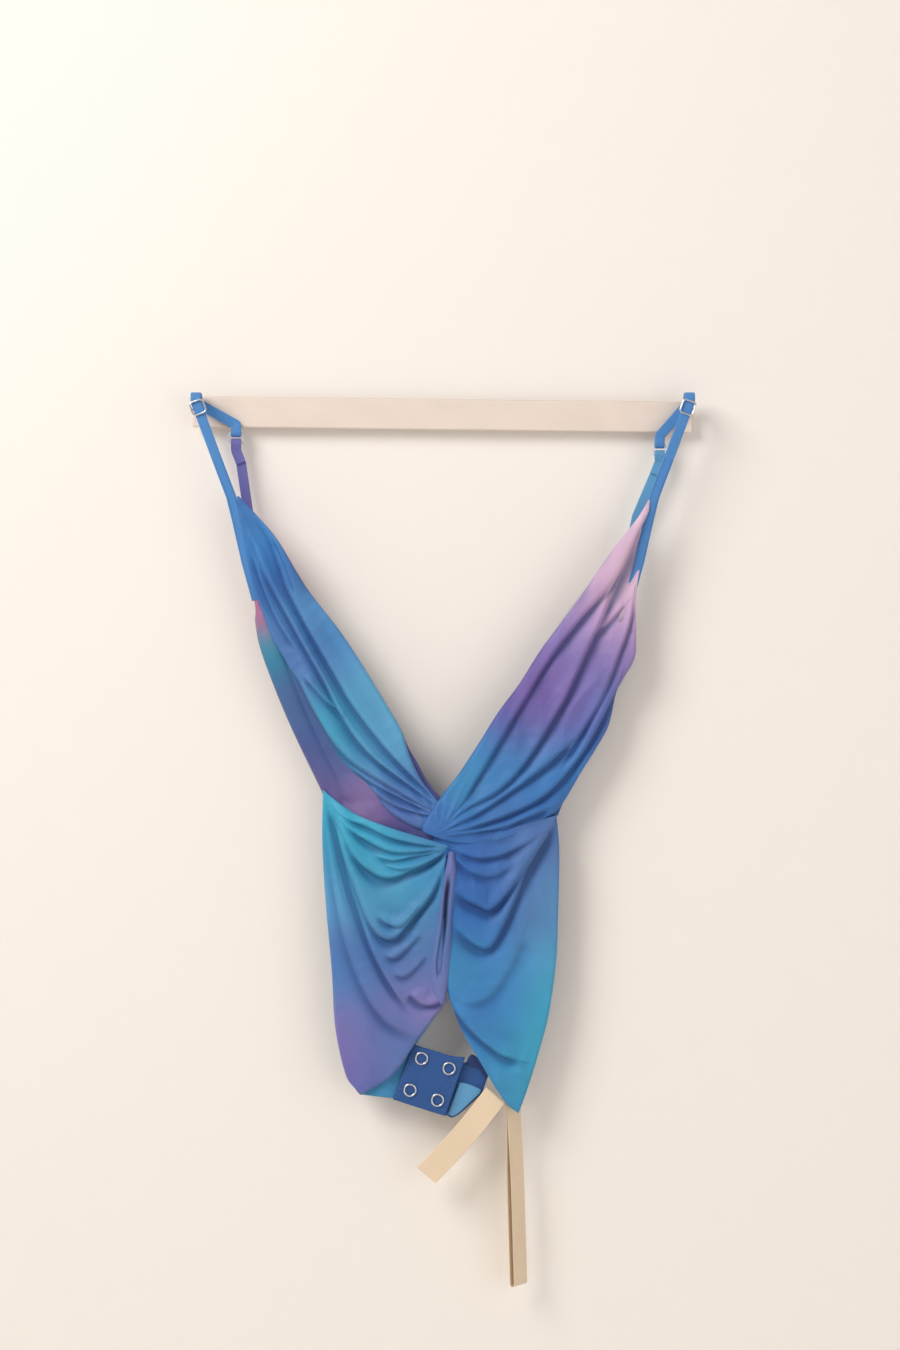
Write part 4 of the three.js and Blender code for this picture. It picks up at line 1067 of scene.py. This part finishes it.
class OBJECT_OT_band(bpy.types.Operator):
    """Builds the elastic band between the straps at the back"""
    bl_idname = "bodysuit.band"
    bl_label = "Back band"

    def execute(self, context):
        low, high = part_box("back_band")
        rise = 4 * MM
        t = np.linspace(0, 1, 200)
        top = np.column_stack([low.x + (high.x - low.x) * t, high.z - rise * t])
        bottom = np.column_stack([low.x + (high.x - low.x) * t, low.z + rise * (1 - t)])
        f = np.linspace(0, 1, 16)[None, :, None]
        grid = top[:, None] * (1 - f) + bottom[:, None] * f
        grid = grid.transpose(1, 0, 2)
        x, z = grid[..., 0], grid[..., 1]
        y = (low.y + high.y) / 2 - 0.4 * MM + 0.25 * MM * np.sin(x / 0.021) * np.cos(z / 0.006)
        band = shell("elastic_band", np.stack([x, y, z], -1), 0.8 * MM)
        finish_piece(band, "band_elastic", ["back_band"])
        for i, (a, b) in enumerate(((0.02, 0.03), (0.97, 0.98))):
            at = low.x + (high.x - low.x) * (a + b) / 2
            z0, z1 = high.z - rise * a - 2 * MM, low.z + rise * (1 - a) + 2 * MM
            row = np.linspace((at, low.y - 0.1 * MM, z0), (at, low.y - 0.1 * MM, z1), 20)
            thread = stitch_row(f"band_stitch_{i}", row, (0, -1, 0), 1.8 * MM)
            finish_piece(thread, "nude_thread", [])
        return {"FINISHED"}


# ---- Gusset and snaps ------------------------------------------------------------------

def tab_axes():
    """Middle of the four snaps, and the directions across and up the front tab."""
    boxes = [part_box(f"snap_cap_{i}") for i in (1, 2, 3, 4)]
    middle = [(np.array(low) + np.array(high)) / 2 for low, high in boxes]
    right = middle[1] - middle[0]
    right /= np.linalg.norm(right)
    return np.mean(middle, axis=0), right, np.array([-right[2], 0, right[0]])


def on_tab(points, y):
    """Places (across, up) points in metres on the tab's plane at depth y."""
    centre, right, up = tab_axes()
    p = np.asarray(points, float)
    spot = centre + p[..., :1] * right + p[..., 1:] * up
    spot[..., 1] = y
    return spot


def tab_sheet(name, top, bottom, y, thickness, pucker, columns=70, rows=64):
    """A padded tab between a top and a bottom edge, puckered beside its stitching:
    p sin(2 pi z / 3.6 mm) near both sides, with its borders rounded off."""
    a = curve(np.array(top) * MM, columns)
    b = curve(np.array(bottom) * MM, columns)
    v = np.linspace(0, 1, rows)[:, None, None]
    flat = a[None] * (1 - v) + b[None] * v
    grid = on_tab(flat, y)
    u = np.linspace(0, 1, columns)[None, :]
    w = np.linspace(0, 1, rows)[:, None]
    border = np.minimum(np.minimum(u, 1 - u) * columns, np.minimum(w, 1 - w) * rows) / 4
    round_ = np.sqrt(1 - np.clip(1 - border, 0, 1) ** 2)
    side = np.exp(-((np.minimum(u, 1 - u) / 0.12) ** 2))
    wave = np.sin(6.283 * flat[..., 1] / (3.6 * MM)) * side * pucker * MM
    soft = ripple(flat[..., 0], flat[..., 1], (17, 11, 26), 4) * 0.35 * MM
    front = grid.copy()
    front[..., 1] -= (0.2 + 0.8 * round_) * thickness / 2 + (wave + soft) * round_
    back = grid.copy()
    back[..., 1] += (0.2 + 0.8 * round_) * thickness / 2 - (wave + soft) * round_
    return shell(name, front, thickness, back=back)


def ring_snap(name, node, band):
    """A turned open ring: a round bead carried round the Y axis."""
    low, high = (np.array(corner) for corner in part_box(node))
    centre, radius = (low + high) / 2, (high[2] - low[2]) / 2 - band / 2
    a = np.linspace(0, 2 * np.pi, 48, endpoint=False)
    path = np.column_stack([radius * np.cos(a), np.zeros(48), radius * np.sin(a)]) + centre
    b = np.linspace(0, 2 * np.pi, 12, endpoint=False)
    section = np.column_stack([0.45 * MM * np.cos(b), band / 2 * np.sin(b)])
    return sweep(name, path, section, (0, 1, 0), closed=True)


class OBJECT_OT_gusset(bpy.types.Operator):
    """Builds the snap tabs between the legs, with their stitching and snaps"""
    bl_idname = "bodysuit.gusset"
    bl_label = "Gusset"

    def execute(self, context):
        low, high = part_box("gusset_front")
        y = (low.y + high.y) / 2
        front = tab_sheet("front_tab", [(-19.2, 19), (-9, 19.4), (1.2, 20), (10.2, 20.6), (18.2, 23)],
                          [(-19.2, -22), (0, -21.4), (19.2, -20.5)], y, 1.5 * MM, 0.22)
        finish_piece(front, "tab_cloth", ["gusset_front"], "front_tab")
        for i, x in enumerate((-17.6, -16.2, 16.2, 17.4)):
            top = 20.4 if x > 0 else 17.5
            row = on_tab(np.array([(x, top), (x, 0), (x + 0.4, -20.4)]) * MM, y - 0.95 * MM)
            thread = stitch_row(f"tab_stitch_{i}", resample(row, 60), (0, -1, 0), 2.0 * MM)
            finish_piece(thread, "pale_thread", [], "front_tab")
        low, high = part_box("gusset_back")
        depth = (low.y + high.y) / 2
        back = tab_sheet("back_tab", [(-17.7, 18), (17.2, 18), (22.2, 25), (30, 23), (38, 21.5)],
                         [(-17.7, -19), (0, -20), (19.2, -20.5), (26.7, -18.5), (38, 2)],
                         depth, 1.5 * MM, 0.12)
        finish_piece(back, "tab_cloth", ["gusset_back"])
        low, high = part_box("gusset_lining")
        lining = tab_sheet("facing", [(20.4, 5), (28, 5.6), (36.5, 5)],
                           [(20.4, -19), (26.2, -17.5), (37, 3)],
                           (low.y + high.y) / 2, 0.9 * MM, 0.1, 40, 30)
        finish_piece(lining, "pale_strap", ["gusset_lining"])
        low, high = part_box("leg_binding")
        bind = tab_sheet("binding", [(20.4, 23), (22.6, 26), (30.5, 23.2), (37.6, 17.2)],
                         [(20.4, 17.5), (24, 18), (30, 18), (37.8, 12.2)],
                         (low.y + high.y) / 2, 0.9 * MM, 0.05, 50, 16)
        finish_piece(bind, "leg_binding", ["leg_binding"])
        for i in (1, 2, 3, 4):
            for part, body in (("cap", "front_tab"), ("post", "garment")):
                ring = ring_snap(f"{part}_{i}", f"snap_{part}_{i}", 1.25 * MM)
                finish_piece(ring, "plated_metal", [f"snap_{part}_{i}"], body)
            paint(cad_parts[f"snap_socket_{i}"], "plated_metal")
            paint(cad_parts[f"snap_stud_{i}"], "plated_metal")
        return {"FINISHED"}


# ---- Ribbon loops ----------------------------------------------------------------------

def loop_piece(name, pivot, lean, length, gap, sag, twist=0.0):
    """A ribbon folded in two: down the front ply, round the fold and up the back ply,
    leaning sideways, and turned about its own length from near its top, with its front
    edge held where it is."""
    width = sidebar("ribbon_width")
    down = np.linspace(0.002, length, 60)
    half = RIBBON_THICKNESS + (gap / 2 - RIBBON_THICKNESS) * ease(down / length, 0.1, 0.5)
    a = np.linspace(np.pi, 2 * np.pi, 10)[1:-1]
    fold_ = np.column_stack([np.zeros(8), half[-1] * np.cos(a), -length + half[-1] * np.sin(a)])
    ply = lambda f: np.column_stack([np.zeros(60), f * half, -down])
    path = np.vstack([ply(-1), fold_, ply(1)[::-1]])

    def pose(grid):
        depth = -grid[..., 2]
        angle = twist * ease(depth, -0.012, 0.012)
        c, s = np.cos(angle), np.sin(angle)
        x = grid[..., 0] * c - grid[..., 1] * s + sag * MM * np.sin(depth / length * np.pi)
        y = grid[..., 0] * s + grid[..., 1] * c + abs(s) * (width / 2 - 1 * MM)
        cl, sl = np.cos(lean), np.sin(lean)
        return np.stack([x * cl + grid[..., 2] * sl, y, grid[..., 2] * cl - x * sl], -1) + pivot

    return sweep(name, path, rounded(width, RIBBON_THICKNESS, 24, 0.3), turn=pose)


class OBJECT_OT_loops(bpy.types.Operator):
    """Builds the two ribbon hanger loops"""
    bl_idname = "bodysuit.loops"
    bl_label = "Ribbon loops"

    def execute(self, context):
        width = sidebar("ribbon_width")
        low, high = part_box("hanger_loop_short")
        pivot = np.array([high.x - width / 2 * np.cos(SHORT_LEAN), (low.y + high.y) / 2,
                          high.z - width / 2 * np.sin(SHORT_LEAN)])
        short = loop_piece("short_loop", pivot, SHORT_LEAN, 75 * MM, 1.6 * MM, 1.5)
        finish_piece(short, "satin_ribbon", ["hanger_loop_short"], "short_loop")
        low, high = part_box("hanger_loop_long")
        pivot = np.array([high.x - width / 2 + 0.2 * MM, (low.y + high.y) / 2, high.z - 0.3 * MM])
        long = loop_piece("long_loop", pivot, LONG_LEAN, 133 * MM, 3.4 * MM, 0, LONG_TWIST)
        finish_piece(long, "satin_ribbon", ["hanger_loop_long"], "long_loop")
        return {"FINISHED"}


# ---- Stage -----------------------------------------------------------------------------

def plane(name, corners, material):
    """A flat part of the stage."""
    obj = new_object(name, corners, [[0, 1, 2, 3]], smooth=False)
    obj.data.materials.append(material)


def area_light(name, spot, diameter, power, target, colour=(1, 1, 1)):
    """A soft round light at a spot, turned to a target."""
    light = bpy.data.lights.new(name, "AREA")
    light.shape = "DISK"
    light.size = diameter
    light.energy = power
    light.color = colour
    obj = bpy.data.objects.new(name, light)
    bpy.context.scene.collection.objects.link(obj)
    obj.location = spot
    obj.rotation_euler = (Vector(target) - obj.location).to_track_quat("-Z", "Y").to_euler()


class OBJECT_OT_stage(bpy.types.Operator):
    """Builds the pale wall and floor, the lights and the camera"""
    bl_idname = "bodysuit.stage"
    bl_label = "Stage"

    def execute(self, context):
        settings = context.scene.bodysuit
        wall = wall_material("wall_paint", 0xF5EEE7)
        y, bottom, top, reach, depth = settings.wall_depth, -1.3, 1.6, 3.0, 4.0
        plane("wall", [(-reach, y, bottom), (reach, y, bottom), (reach, y, top), (-reach, y, top)],
              wall)
        plane("floor", [(-reach, -depth, bottom), (reach, -depth, bottom), (reach, y + depth, bottom),
                        (-reach, y + depth, bottom)], wall)
        middle = (0, 0, -0.28)
        area_light("key", (-1.35, -1.5, 1.15), 1.3, settings.key_power, middle, (1, 0.99, 0.97))
        area_light("fill", (1.6, -2.0, -0.3), 2.2, settings.fill_power, middle)
        area_light("back_fill", (0.6, 2.4, 0.8), 2.0, settings.fill_power * 2, middle)
        context.scene.view_settings.view_transform = "Standard"
        world = bpy.data.worlds.new("studio")
        world.use_nodes = True
        background = world.node_tree.nodes["Background"]
        background.inputs["Color"].default_value = (1, 0.985, 0.965, 1)
        background.inputs["Strength"].default_value = settings.ambient
        context.scene.world = world
        camera = bpy.data.cameras.new("camera")
        camera.lens = 84
        obj = bpy.data.objects.new("camera", camera)
        context.scene.collection.objects.link(obj)
        obj.location = (0.005, -2.2, -0.194)
        obj.rotation_euler = (np.pi / 2, 0, 0)
        context.scene.camera = obj
        return {"FINISHED"}


# ---- Add-on ----------------------------------------------------------------------------

class BodysuitColours(bpy.types.PropertyGroup):
    """One colour for each plain cloth"""
    __annotations__ = {
        name: bpy.props.FloatVectorProperty(
            name=name.replace("_", " ").capitalize(), description="Base colour of this cloth",
            default=linear(code).tolist(), size=3, min=0, max=1, subtype="COLOR")
        for name, (code, _) in CLOTHS.items()}


class BodysuitSettings(bpy.types.PropertyGroup):
    """Sizes, and the strength of the lights"""
    strap_width: bpy.props.FloatProperty(
        name="Strap width", description="Width of the shoulder straps", default=7 * MM, unit="LENGTH")
    strap_thickness: bpy.props.FloatProperty(
        name="Strap thickness", description="Thickness of the shoulder straps", default=1.4 * MM,
        unit="LENGTH")
    ribbon_width: bpy.props.FloatProperty(
        name="Ribbon width", description="Width of the hanger loops' ribbon", default=17 * MM,
        unit="LENGTH")
    fold_depth: bpy.props.FloatProperty(
        name="Fold depth", description="How strongly the draped cloth folds", default=1.6,
        subtype="FACTOR")
    wall_depth: bpy.props.FloatProperty(
        name="Wall", description="Distance from the garment's middle back to the wall",
        default=0.021, unit="LENGTH")
    key_power: bpy.props.FloatProperty(
        name="Key light", description="Power of the soft light from the upper left", default=38,
        unit="POWER")
    fill_power: bpy.props.FloatProperty(
        name="Fill light", description="Power of each fill light", default=11, unit="POWER")
    ambient: bpy.props.FloatProperty(
        name="Ambient", description="Strength of the even light from all around", default=0.44,
        subtype="FACTOR")


OPERATORS = (OBJECT_OT_cups, OBJECT_OT_front, OBJECT_OT_knot, OBJECT_OT_back, OBJECT_OT_straps,
             OBJECT_OT_hardware, OBJECT_OT_band, OBJECT_OT_gusset, OBJECT_OT_loops, OBJECT_OT_stage)


class VIEW3D_PT_bodysuit(bpy.types.Panel):
    """Lists the sizes, colours and pieces"""
    bl_idname = "VIEW3D_PT_bodysuit"
    bl_label = "Bodysuit"
    bl_space_type = "VIEW_3D"
    bl_region_type = "UI"
    bl_category = "Bodysuit"

    def draw(self, context):
        for group in (context.scene.bodysuit, context.scene.bodysuit_colours):
            for name in type(group).__annotations__:
                self.layout.prop(group, name)
        for operator in OPERATORS:
            self.layout.operator(operator.bl_idname)


CLASSES = (BodysuitColours, BodysuitSettings, *OPERATORS, VIEW3D_PT_bodysuit)


def register():
    """Adds the classes and the sidebar's values."""
    for cls in CLASSES:
        bpy.utils.register_class(cls)
    bpy.types.Scene.bodysuit = bpy.props.PointerProperty(type=BodysuitSettings)
    bpy.types.Scene.bodysuit_colours = bpy.props.PointerProperty(type=BodysuitColours)


def unregister():
    """Removes what register adds."""
    del bpy.types.Scene.bodysuit, bpy.types.Scene.bodysuit_colours
    for cls in reversed(CLASSES):
        bpy.utils.unregister_class(cls)


def main():
    """Runs every operator in order."""
    register()
    for operator in OPERATORS:
        getattr(bpy.ops.bodysuit, operator.bl_idname.split(".")[1])()


if __name__ == "__main__":
    main()
